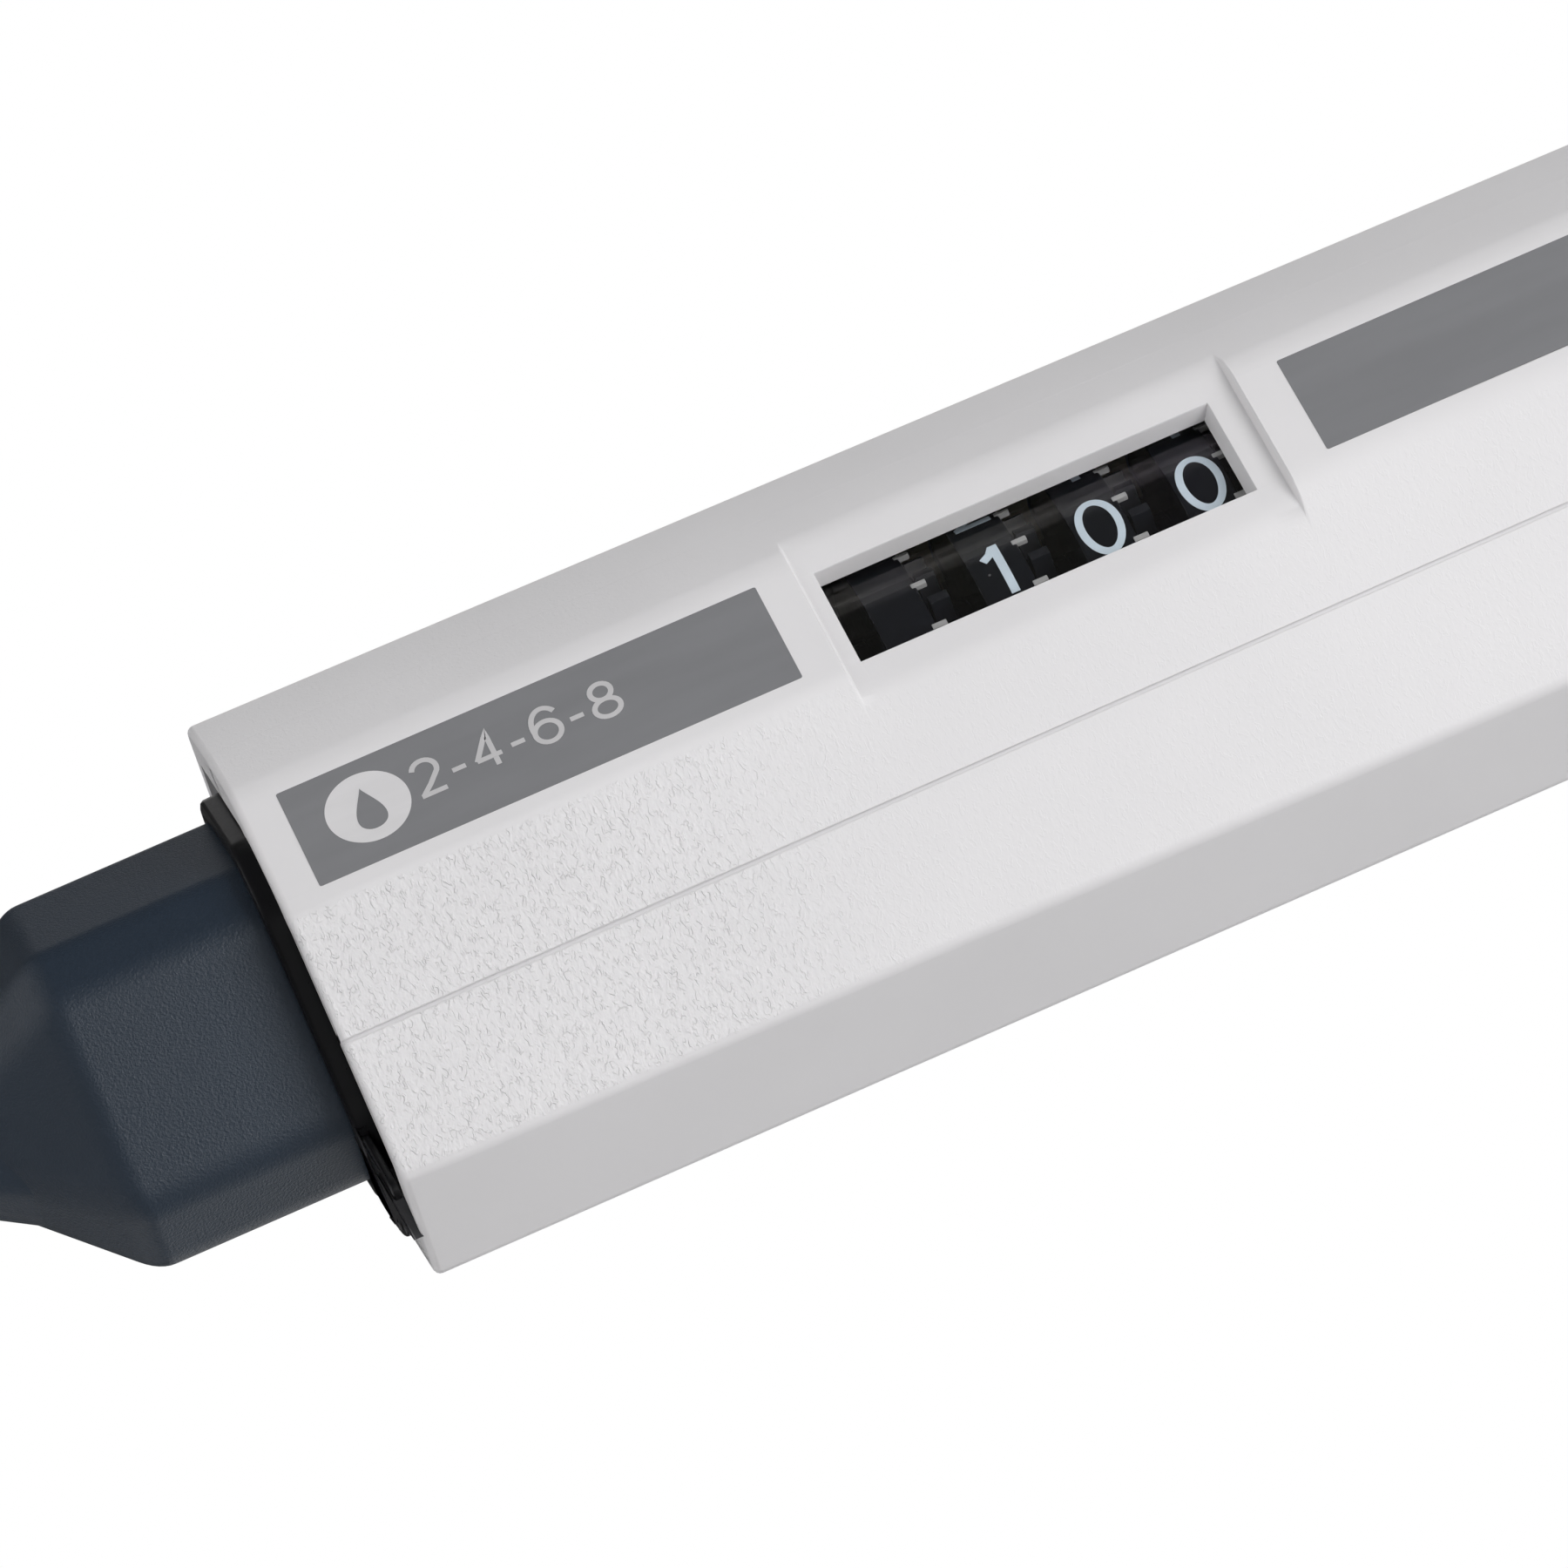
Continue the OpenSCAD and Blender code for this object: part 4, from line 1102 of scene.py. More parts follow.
def sign_films(name, text, height, width, stroke, gap, place, body, slot):
    """Numerals in a row: thin closed films; place takes a flat point and a lift into space."""
    verts, faces = [], []
    start_x = 0.0
    for sign in text:
        share_, weight = cell(sign)
        bold = stroke * weight
        wide, high = width * share_ - bold, height - stroke
        for n, line in enumerate(numeral(sign)):
            points, quads = ribbon(
                [(start_x + bold / 2 + x * wide, (y - 0.5) * high) for x, y in line], bold
            )
            used = {}
            for quad in quads:
                for i, j in zip(quad, quad[1:] + quad[:1]):
                    used[(i, j)] = (j, i) not in used
                    if (j, i) in used:
                        used[(j, i)] = False
            start, count = len(verts), len(points)
            top = 0.014 * MM + n * 0.003 * MM
            verts += [place(p, top) for p in points] + [place(p, -0.02 * MM) for p in points]
            for quad in quads:
                faces.append(tuple(start + i for i in quad))
                faces.append(tuple(start + count + i for i in reversed(quad)))
            faces += [
                (start + j, start + i, start + count + i, start + count + j)
                for (i, j), alone in used.items() if alone
            ]
        start_x += width * share_ + gap
    return piece(name, verts, faces, body, slot, smooth=False)


def flat_panel(corners, radius):
    """A flat outline with slightly rounded corners."""
    return rounded([Vector(c) for c in corners], radius, 4)


class PIPETTE_OT_panels(bpy.types.Operator):
    """Print the grey panels, plain figures and the drop sign on the front"""

    bl_idname = "pipette.panels"
    bl_label = "Printed Panels"

    ink = 0.012 * MM

    def layer(self, name, outline, skins, key):
        """A film of ink with the outline, skins thick over the front flat."""
        y = -GRIP_HALF_D - skins * self.ink
        rings = [
            [Vector((p.x, depth, p.y)) for p in outline] for depth in (-GRIP_HALF_D + self.ink, y)
        ]
        coat(loft(name, rings, "handle", "shell", smooth=False), key)

    def execute(self, context):
        half = 3.45 * MM
        for name, low, high in (
            ("range_panel", 2.3 * MM, 30.15 * MM), ("upper_panel", 60.7 * MM, 88.0 * MM)
        ):
            outline = flat_panel(
                [(-half, RIM_Z + low), (half, RIM_Z + low),
                 (half, RIM_Z + high), (-half, RIM_Z + high)], 0.12 * MM
            )
            self.layer(name, outline, 1, "panel")
        centre, radius = Vector((-0.2 * MM, RIM_Z + 6.43 * MM)), 2.35 * MM
        disc = [centre + p for p in circle(radius, 64)]
        self.layer("range_disc", disc, 2, "knockout")
        drop = []
        for k in range(48):
            a = math.tau * k / 48
            narrow = math.sin(a / 2) ** 1.6
            drop.append(centre + Vector((
                (-1.45 * math.cos(a) + 0.1) * MM, 1.2 * math.sin(a) * narrow * MM
            )))
        self.layer("range_drop", drop, 3, "panel")
        start, aside = RIM_Z + 9.1 * MM, 0.48 * MM
        height, width, stroke, gap = 2.62 * MM, 1.75 * MM, 0.30 * MM, 0.20 * MM

        def place(p, lift):
            return Vector((-p.y - aside, -GRIP_HALF_D - self.ink - lift, start + p.x))

        coat(
            sign_films("range_numerals", "2-4-6-8", height, width, stroke, gap, place,
                       "handle", "shell"),
            "numeral",
        )
        return {"FINISHED"}


# ---- Repeats ----


def repeat(obj, count, turn_step=0.0, move_step=(0.0, 0.0, 0.0), key=None):
    """Repeats a piece by geometry nodes, turned and moved a step each time, as a plain mesh."""
    tree = bpy.data.node_groups.new(obj.name, "GeometryNodeTree")
    tree.interface.new_socket("Geometry", in_out="INPUT", socket_type="NodeSocketGeometry")
    tree.interface.new_socket("Geometry", in_out="OUTPUT", socket_type="NodeSocketGeometry")

    def add(kind, **values):
        made = tree.nodes.new(kind)
        for name, value in values.items():
            socket = made.inputs[name.replace("_", " ")]
            if isinstance(value, bpy.types.NodeSocket):
                tree.links.new(value, socket)
            else:
                socket.default_value = value
        return made

    source = add("NodeGroupInput")
    index = add("GeometryNodeInputIndex").outputs[0]
    places_ = add("GeometryNodePoints", Count=count)
    along = add("ShaderNodeVectorMath")
    along.operation = "SCALE"
    along.inputs[0].default_value = move_step
    tree.links.new(index, along.inputs["Scale"])
    moved = add(
        "GeometryNodeSetPosition", Geometry=places_.outputs[0], Position=along.outputs[0]
    )
    spin = add("ShaderNodeVectorMath")
    spin.operation = "SCALE"
    spin.inputs[0].default_value = (0.0, 0.0, turn_step)
    tree.links.new(index, spin.inputs["Scale"])
    copies = add(
        "GeometryNodeInstanceOnPoints", Points=moved.outputs[0], Instance=source.outputs[0],
        Rotation=spin.outputs[0],
    )
    real = add("GeometryNodeRealizeInstances", Geometry=copies.outputs[0])
    coated = add(
        "GeometryNodeSetMaterial", Geometry=real.outputs[0], Material=FINISHES[key]
    )
    result = add("NodeGroupOutput", Geometry=coated.outputs[0])
    result.is_active_output = True
    for old in list(obj.modifiers):
        obj.modifiers.remove(old)
    modifier = obj.modifiers.new("Repeat", "NODES")
    modifier.node_group = tree
    bpy.context.view_layer.update()
    graph = bpy.context.evaluated_depsgraph_get()
    mesh = bpy.data.meshes.new_from_object(obj.evaluated_get(graph), depsgraph=graph)
    obj.modifiers.remove(modifier)
    obj.data = mesh
    coat(obj, key)
    return obj


def solid(name, verts, faces):
    """A bare mesh object, not yet tied to the frame."""
    mesh = bpy.data.meshes.new(name)
    mesh.from_pydata([tuple(v) for v in verts], [], faces)
    obj = bpy.data.objects.new(name, mesh)
    bpy.context.scene.collection.objects.link(obj)
    return obj


def box_shape(low, high, bevel=0.0, segments=2):
    """Points and faces of a box with rounded edges."""
    bm = bmesh.new()
    bmesh.ops.create_cube(bm, size=1.0)
    low, high = Vector(low), Vector(high)
    for v in bm.verts:
        v.co = [(low[k] + high[k]) / 2 + v.co[k] * (high[k] - low[k]) for k in range(3)]
    if bevel:
        bmesh.ops.bevel(
            bm, geom=list(bm.edges), offset=bevel, segments=segments, profile=0.5,
            affect="EDGES", clamp_overlap=True,
        )
    verts = [v.co.copy() for v in bm.verts]
    faces = [tuple(v.index for v in f.verts) for f in bm.faces]
    bm.free()
    return verts, faces


# ---- Counter ----


def around(radius, angle, z):
    """A point at an angle from the front, turned toward +X."""
    return Vector((radius * math.sin(angle), -radius * math.cos(angle), z))


class PIPETTE_OT_counter(bpy.types.Operator):
    """Make the digit wheels, their teeth and digits, and the clear window"""

    bl_idname = "pipette.counter"
    bl_label = "Counter"

    def execute(self, context):
        counter = context.scene.pipette_counter
        for node, body, first in (
            ("units_wheel", "drive", 0), ("tens_wheel", "tens", 0),
            ("hundreds_wheel", "hundreds", 1), ("blank_wheel", "handle", None),
        ):
            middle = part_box(node)[0].z + 2.4 * MM
            self.wheel(counter, node, body, middle)
            if first is not None:
                self.digits(counter, node, body, middle, first)
        self.lens()
        return {"FINISHED"}

    @staticmethod
    def wheel(counter, node, body, middle):
        """A wheel: carry disc, digit band, gear with its teeth, and small moulded tabs whose light
        grey is a painted highlight of light caught by small chamfers.
        """
        half = counter.band / 2
        root = 0.71 * WHEEL_R
        profile = softened(
            [(4.0 * MM, middle - 2.4 * MM), (0.55 * WHEEL_R, middle - 2.4 * MM),
             (0.55 * WHEEL_R, middle - half), (WHEEL_R, middle - half),
             (WHEEL_R, middle + half), (root, middle + half),
             (root, middle + 3.2 * MM), (4.0 * MM, middle + 3.2 * MM)], 0.12 * MM, 3
        )
        coat(lathe(node + "_drum", profile, body, "black", [node], steps=120), "drum")
        low, high = middle + 1.95 * MM, middle + 3.05 * MM
        tip = 0.86 * WHEEL_R
        flank = [(-0.62, root - 0.2 * MM), (0.62, root - 0.2 * MM), (0.3, tip), (-0.3, tip)]
        ring = [Vector((x * MM, -r)) for x, r in flank]
        tooth = loft(node + "_teeth", [level(ring, z) for z in (low, high)], body, "black",
                     smooth=False)
        start = Matrix.Rotation(math.radians(-7.1), 4, "Z")
        tooth.data.transform(start)
        repeat(tooth, counter.teeth, math.tau / counter.teeth, key="tooth")
        # small tabs whose light grey is a painted highlight, for light caught by small chamfers
        verts, faces = box_shape(
            (-0.17 * MM, -WHEEL_R - 0.04 * MM, middle + 1.25 * MM),
            (0.17 * MM, -WHEEL_R + 0.3 * MM, middle + 2.1 * MM), 0.05 * MM, 2
        )
        tab = piece(node + "_highlight_tabs", verts, faces, body, "black", smooth=False)
        tab.data.transform(Matrix.Rotation(math.radians(-7.8), 4, "Z"))
        repeat(tab, counter.teeth, math.tau / counter.teeth, key="tab")

    @staticmethod
    def digits(counter, node, body, middle, first):
        """Ten digits round a wheel; first faces forward."""
        bm = bmesh.new()
        for digit in range(10):
            facing = -math.tau / 10 * (digit - first)

            def place(p, lift, facing=facing):
                radius = WHEEL_R + lift
                x = p.x - counter.digit_width / 2
                return around(radius, facing - p.y / WHEEL_R, middle + x)

            one = sign_films(
                f"digit_{digit}", str(digit), counter.digit_height, counter.digit_width,
                counter.stroke, 0.0, place, body, "black"
            )
            bm.from_mesh(one.data)
            bpy.data.objects.remove(one)
        obj = piece(node + "_digits", [], [], body, "black", smooth=False)
        bm.to_mesh(obj.data)
        bm.free()
        coat(obj, "digit")

    @staticmethod
    def lens():
        """The clear window, bent round the wheels."""
        low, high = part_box("window_lens")[0].z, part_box("window_lens")[1].z
        reach = math.asin(4.9 * MM / LENS_R)
        turns = [reach * (k / 16 - 1) for k in range(33)]
        edge = [around(LENS_R, a, 0.0).xy for a in turns]
        edge += [around(LENS_R - 0.35 * MM, a, 0.0).xy for a in reversed(turns)]
        heights = [low, low + 0.1 * MM, high - 0.1 * MM, high]
        rings = [level(edge, z) for z in heights]
        coat(loft("volume_window", rings, "handle", "lens", ["window_lens"]), "lens")


# ---- Neck and rim ----


def neck_corners(neck, grown=0.0):
    """Corners of the neck's eight-sided outline, anticlockwise."""
    half_w = -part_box("ejector_collar")[0].x
    quarter = [(neck.front_flat, -NECK_HALF_D), (half_w, -neck.side_flat)]
    right = quarter + [(x, -y) for x, y in reversed(quarter)]
    corners = [Vector(c) for c in right + [(-x, y) for x, y in reversed(right)]]
    return moved_in(corners, -grown) if grown else corners


def corner_normals(corners, steps):
    """Outward directions at the points that rounded() makes."""
    result = []
    n = len(corners)
    for i in range(n):
        before = (corners[i] - corners[i - 1]).normalized()
        after = (corners[(i + 1) % n] - corners[i]).normalized()
        a = Vector((before.y, -before.x))
        swing = a.angle(Vector((after.y, -after.x)))
        result += [Matrix.Rotation(swing * k / steps, 2) @ a for k in range(steps + 1)]
    return result


def eased(path, reach, steps=6):
    """A two-legged path of (share, height) with its corner eased over reach metres."""
    (t0, z0), (t1, z1), (t2, z2) = path
    up, down = Vector((t0 - t1, z0 - z1)), Vector((t2 - t1, z2 - z1))
    corner = Vector((t1, z1))
    a = corner + up * min(0.5, reach / abs(z0 - z1))
    b = corner + down * min(0.5, reach / abs(z2 - z1))
    result = []
    for k in range(steps + 1):
        s = k / steps
        result.append(tuple(a * (1 - s) ** 2 + corner * 2 * s * (1 - s) + b * s * s))
    return result


class PIPETTE_OT_neck(bpy.types.Operator):
    """Make the eight-sided neck with its taper, and the rim plate round it"""

    bl_idname = "pipette.neck"
    bl_label = "Neck"

    def execute(self, context):
        neck = context.scene.pipette_neck
        steps = 6
        corners = neck_corners(neck)
        wide = rounded(corners, neck.edge, steps)
        narrow = [n * neck.sleeve for n in corner_normals(corners, steps)]
        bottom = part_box("ejector_collar")[0].z
        break_z = RIM_Z - neck.straight
        end_z = break_z - neck.taper
        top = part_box("ejector_collar")[1].z
        rows = [(0.0, top), (0.0, RIM_Z + 5.0 * MM), (0.0, RIM_Z)]
        rows += [(0.0, RIM_Z - neck.straight * k / 6) for k in range(1, 5)]
        rows += eased([(0.0, RIM_Z), (0.0, break_z), (1.0, end_z)], 0.9 * MM)
        rows += [(k / 8, break_z - neck.taper * k / 8) for k in range(2, 7)]
        rows += eased([(0.0, break_z), (1.0, end_z), (1.0, bottom)], 0.7 * MM)
        rows += [(1.0, end_z - 3.0 * MM), (1.0, bottom + 0.3 * MM)]
        rings = [
            [Vector((*w.lerp(s, t), z)) for w, s in zip(wide, narrow)] for t, z in rows
        ]
        shrink = (neck.sleeve - 0.25 * MM) / neck.sleeve
        rings.append([Vector((s.x * shrink, s.y * shrink, bottom)) for s in narrow])
        bore = 3.4 * MM / neck.sleeve
        rings.append([Vector((s.x * bore, s.y * bore, bottom)) for s in narrow])
        rings.append([Vector((s.x * bore, s.y * bore, bottom + 6 * MM)) for s in narrow])
        inner = rounded(moved_in(corners, neck.wall), neck.edge - neck.wall, steps)
        rings += [level(inner, break_z + 0.5 * MM), level(inner, top)]
        skin = loft("neck", rings, "ejector", "navy", ["ejector_collar"], joined=True)
        coat(skin, "navy")
        self.lobe()
        self.rim(neck)
        return {"FINISHED"}

    @staticmethod
    def lobe():
        """The arm inside the grip that the ejector rod pushes on."""
        low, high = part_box("ejector_rod")
        x = (low.x + high.x) / 2
        start, half, edge = 8.5 * MM, 2.0 * MM, 0.4 * MM
        foot, top = RIM_Z + 13 * MM, RIM_Z + 15 * MM
        verts, faces = box_shape((start, -half, foot), (x + half, half, top), edge)
        coat(piece("ejector_arm", verts, faces, "ejector", "navy"), "navy")

    def rim(self, neck):
        """Black plate inside the rim, its flange round the neck, and the rod's slot."""
        gap = neck_corners(neck, 0.25 * MM)
        hole = rounded(gap, neck.edge)
        top = RIM_Z + 2.4 * MM
        floor = RIM_Z + 1.3 * MM
        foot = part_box("rim_plate")[0].z
        grip = bpy.context.scene.pipette_grip
        # floor of the rim, between the neck and the grip's wall
        low_side = [self.outward(grip, p) for p in hole]
        rings = [
            [Vector((p.x, p.y, top)) for p in hole],
            [Vector((p.x, p.y, floor)) for p in hole],
            [Vector((p.x, p.y, floor)) for p in low_side],
            [Vector((p.x, p.y, top)) for p in low_side],
        ]
        coat(loft("rim_floor", rings, "handle", "black", joined=True), "black")
        # flange round the neck
        outline = neck_corners(neck, neck.flange)
        wide = neck.flange / MM
        lips = []
        for grow, z in (
            (0.25, floor + 0.2 * MM), (0.25, foot + 0.35 * MM), (0.33, foot + 0.12 * MM),
            (0.48, foot), (wide - 0.35, foot), (wide - 0.12, foot + 0.1 * MM),
            (wide, foot + 0.3 * MM), (wide + 0.1, floor + 0.2 * MM),
        ):
            shape = rounded(neck_corners(neck, grow * MM), neck.edge + grow * MM * 0.8)
            lips.append(level(shape, z))
        flange = loft("rim_flange", lips, "handle", "black", ["rim_plate"], joined=True)
        coat(flange, "trim")
        self.slot(outline[1].x - 0.6 * MM, foot, floor)

    @staticmethod
    def slot(root, foot, floor):
        """The lobe under the ejector rod, rising toward the wall, and the tongue in it."""
        reach, slope, edge = GRIP_HALF_W - 1.95 * MM, 0.14, 1.5 * MM
        for name, front, end, back, low, high, key in (
            ("slot_edge", -3.4 * MM, reach, 4.9 * MM, foot + 0.1 * MM, foot + 0.6 * MM, "trim"),
            ("slot_tongue", -2.4 * MM, reach - 0.75 * MM, 4.0 * MM, foot - 0.05 * MM,
             floor + 0.2 * MM, "tongue"),
        ):
            outline = rounded(
                [Vector((root, front + 0.6 * MM)), Vector((end - 2.6 * MM, front)),
                 Vector((end, front + 2.0 * MM)), Vector((end, back - 0.6 * MM)),
                 Vector((root, back))], edge, 6
            )

            def rising(p, height):
                return Vector((p.x, p.y, height + slope * (p.x - root)))

            coat(slab(name, outline, low, high, 0.16 * MM, 0.12 * MM, rising, "handle", "black"),
                 key)

    @staticmethod
    def outward(grip, point):
        """Where a ray from the axis through a point meets the inside of the grip's wall."""
        right = grip_corners(grip, 0.0)
        corners = right + [Vector((-p.x, p.y)) for p in reversed(right)]
        corners = moved_in(corners, grip.wall - 0.05 * MM)
        best = None
        for a, b in zip(corners, corners[1:] + corners[:1]):
            along = b - a
            cross = point.cross(along)
            if abs(cross) < 1e-12:
                continue
            t = a.cross(along) / cross
            u = a.cross(point) / cross
            if t > 0 and -1e-6 <= u <= 1 + 1e-6 and (best is None or t < best):
                best = t
        return point * best


# ---- Top ----


def notched(radius, count, depth, steps=192):
    """A round outline with shallow notches."""
    return [
        Vector((r * math.cos(a), r * math.sin(a)))
        for a in (math.tau * k / steps for k in range(steps))
        for r in (radius - depth * max(0.0, math.cos(count * a)) ** 2,)
    ]


def scaled(outline, radius, inset):
    """A round outline drawn in toward its middle."""
    return [p * (radius - inset) / radius for p in outline]


class PIPETTE_OT_top(bpy.types.Operator):
    """Make the cap, the calibration ring, the push button and the ejector's thumb pad"""

    bl_idname = "pipette.top"
    bl_label = "Top"

    def execute(self, context):
        self.cap(context.scene.pipette_grip)
        self.ring()
        self.button()
        self.thumb_pad()
        return {"FINISHED"}

    @staticmethod
    def cap(grip):
        """The cap: a shadow gap over the grip, straight sides and a crowned shoulder."""
        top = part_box("top_cap")[1].z
        gap, crown, inset = 0.35 * MM, 3.0 * MM, 2.2 * MM
        total = GRIP_TOP - RIM_Z
        rows = [(gap, GRIP_TOP - gap), (gap, GRIP_TOP + 0.25 * MM), (0.1 * MM, GRIP_TOP + gap),
                (0.0, GRIP_TOP + 0.6 * MM)]
        for k in range(9):
            a = math.pi / 2 * k / 8
            rows.append((inset * (1 - math.cos(a)), top - crown + crown * math.sin(a)))
        rings = [level(grip_outline(grip, total, i), z) for i, z in rows]
        rings.append(level([p * 0.6 for p in grip_outline(grip, total, inset)], top))
        cap = loft("top_cap_skin", rings, "handle", "shell", ["top_cap"])
        coat(cap, "smooth_shell")
        wall, sunk, proud, edge = 0.9 * MM, 1 * MM, 0.25 * MM, 0.12 * MM
        for name, x, radius in (("stem_bush", 0.0, 4.4 * MM), ("rod_bush", 12.4 * MM, 2.3 * MM)):
            profile = softened(
                [(radius - wall, top - sunk), (radius, top - sunk),
                 (radius, top + proud), (radius - wall, top + proud)], edge, 3
            )
            coat(lathe(name, profile, "handle", "black", centre=(x, 0.0), steps=48), "black")

    @staticmethod
    def ring():
        """The calibration ring with its key notches."""
        low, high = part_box("calibration_ring")
        outline = notched(high.x, 12, 0.45 * MM)
        rings = [
            level(scaled(outline, high.x, inset), z) for inset, z in (
                (0.0, low.z), (0.0, high.z - 0.4 * MM), (0.1 * MM, high.z - 0.12 * MM),
                (0.4 * MM, high.z), (2.2 * MM, high.z), (2.5 * MM, high.z - 0.15 * MM),
                (2.6 * MM, high.z - 0.5 * MM),
            )
        ]
        coat(loft("calibration_ring_skin", rings, "handle", "navy", ["calibration_ring"]), "navy")

    @staticmethod
    def button():
        """The fluted push button and the plain disc let into its top."""
        low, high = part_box("push_button")
        radius = high.x
        disc_low, disc_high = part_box("button_disc")
        seat = disc_high.x
        rows = [(0.9, 0.0, low.z), (0.25, 0.0, low.z + 0.2 * MM), (0.0, 0.0, low.z + 0.8 * MM),
                (0.0, 0.0, low.z + 2.0 * MM), (0.0, 0.6, low.z + 2.5 * MM),
                (0.0, 1.0, low.z + 3.2 * MM), (0.0, 1.0, high.z - 4.4 * MM),
                (0.0, 0.6, high.z - 3.7 * MM), (0.0, 0.0, high.z - 3.1 * MM),
                (0.08, 0.0, high.z - 2.2 * MM), (0.35, 0.0, high.z - 1.3 * MM),
                (0.85, 0.0, high.z - 0.55 * MM), (1.5, 0.0, high.z - 0.12 * MM),
                (2.2, 0.0, high.z)]
        rings = [
            level(scaled(notched(radius, 24, 0.5 * MM * flute), radius, inset * MM), z)
            for inset, flute, z in rows
        ]
        rings += [level(circle(seat + lift * MM, 192), z) for lift, z in (
            (0.35, high.z - 0.02 * MM), (0.12, high.z - 0.15 * MM), (0.1, disc_low.z))]
        coat(loft("push_button_skin", rings, "button", "navy", ["push_button"]), "navy")
        profile = [(0.0, -0.35), (1.6, -0.33), (3.2, -0.24), (4.4, -0.1), (5.05, 0.0),
                   (5.35, -0.06), (5.5, -0.25), (5.5, -0.75)]
        rings = [
            level(circle(max(r, 0.02) * MM), disc_high.z + z * MM) for r, z in profile
        ]
        coat(loft("button_disc_skin", rings, "button", "shell", ["button_disc"]), "smooth_shell")

    @staticmethod
    def thumb_pad():
        """The ejector's pad with ribs across its top."""
        low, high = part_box("ejector_button")
        pad = rounded(
            [Vector((low.x, low.y)), Vector((high.x, low.y)), Vector((high.x, high.y)),
             Vector((low.x, high.y))], [1.6 * MM, 3.4 * MM, 3.4 * MM, 1.6 * MM], 8
        )
        top = high.z - 0.45 * MM
        coat(slab("ejector_pad", pad, low.z, top, 0.7 * MM, 1.2 * MM, upright, "ejector",
                  "navy", ["ejector_button"]), "navy")
        span = (low.x + 1.7 * MM, high.x - 1.7 * MM)
        verts, faces = box_shape(
            (span[0], -4.55 * MM, top - 0.4 * MM), (span[1], -3.85 * MM, high.z), 0.25 * MM, 3
        )
        rib = piece("ejector_pad_ribs", verts, faces, "ejector", "navy")
        repeat(rib, 7, move_step=(0.0, 1.4 * MM, 0.0), key="navy")


# ---- Hook ----


def hex_ring(steps, across):
    """A six-sided outline with as many points as a round one."""
    points = []
    for k in range(steps):
        a = math.tau * k / steps
        wedge = (a + math.pi / 6) % (math.pi / 3) - math.pi / 6
        points.append(Vector((math.cos(a), math.sin(a))) * across / 2 / math.cos(wedge))
    return points


def screw(name, x, y, z, radius, rise, body):
    """A domed screw with a hexagon socket, its head toward +Y."""
    steps = 48
    rows = [(1.0, -1.0 * MM), (1.0, 0.25 * rise), (0.94, 0.6 * rise), (0.8, 0.88 * rise),
            (0.62, rise)]
    rings = [[Vector((x + p.x, y + up, z + p.y)) for p in circle(radius * r, steps)]
             for r, up in rows]
    socket = hex_ring(steps, radius * 0.92)
    rings += [[Vector((x + p.x, y + up, z + p.y)) for p in socket]
              for up in (0.93 * rise, rise - 0.8 * MM)]
    return loft(name, rings, body, "steel")


class PIPETTE_OT_hook(bpy.types.Operator):
    """Make the finger hook with its screw"""

    bl_idname = "pipette.hook"
    bl_label = "Finger Hook"

    def execute(self, context):
        low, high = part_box("finger_hook")
        back, out, foot, top = low.y, high.y, low.z, high.z
        root = back - 0.6 * MM
        corners = [
            (root, foot, 0.9), (back + 3 * MM, foot, 1.5), (back + 3 * MM, top - 5 * MM, 3.2),
            (out - 5 * MM, top - 5 * MM, 3.0), (out - 5 * MM, top - 15.5 * MM, 2.0),
            (out, top - 15.5 * MM, 2.9), (out, top, 4.6), (root, top, 0.9),
        ]
        side = rounded(
            [Vector((y, z)) for y, z, _ in corners], [r * MM for _, _, r in corners], 10
        )

        def place(p, x):
            return Vector((x, p.x, p.y))

        coat(slab("finger_hook_skin", side, low.x, high.x, 0.85 * MM, 0.85 * MM, place,
                  "handle", "shell", ["finger_hook"]), "smooth_shell")
        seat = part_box("hook_screw")
        y, z = back + 3.0 * MM, (seat[0].z + seat[1].z) / 2
        coat(screw("hook_screw_head", 0.0, y, z, 2.3 * MM, 0.9 * MM, "handle"), "steel")
        return {"FINISHED"}


# ---- Head ----


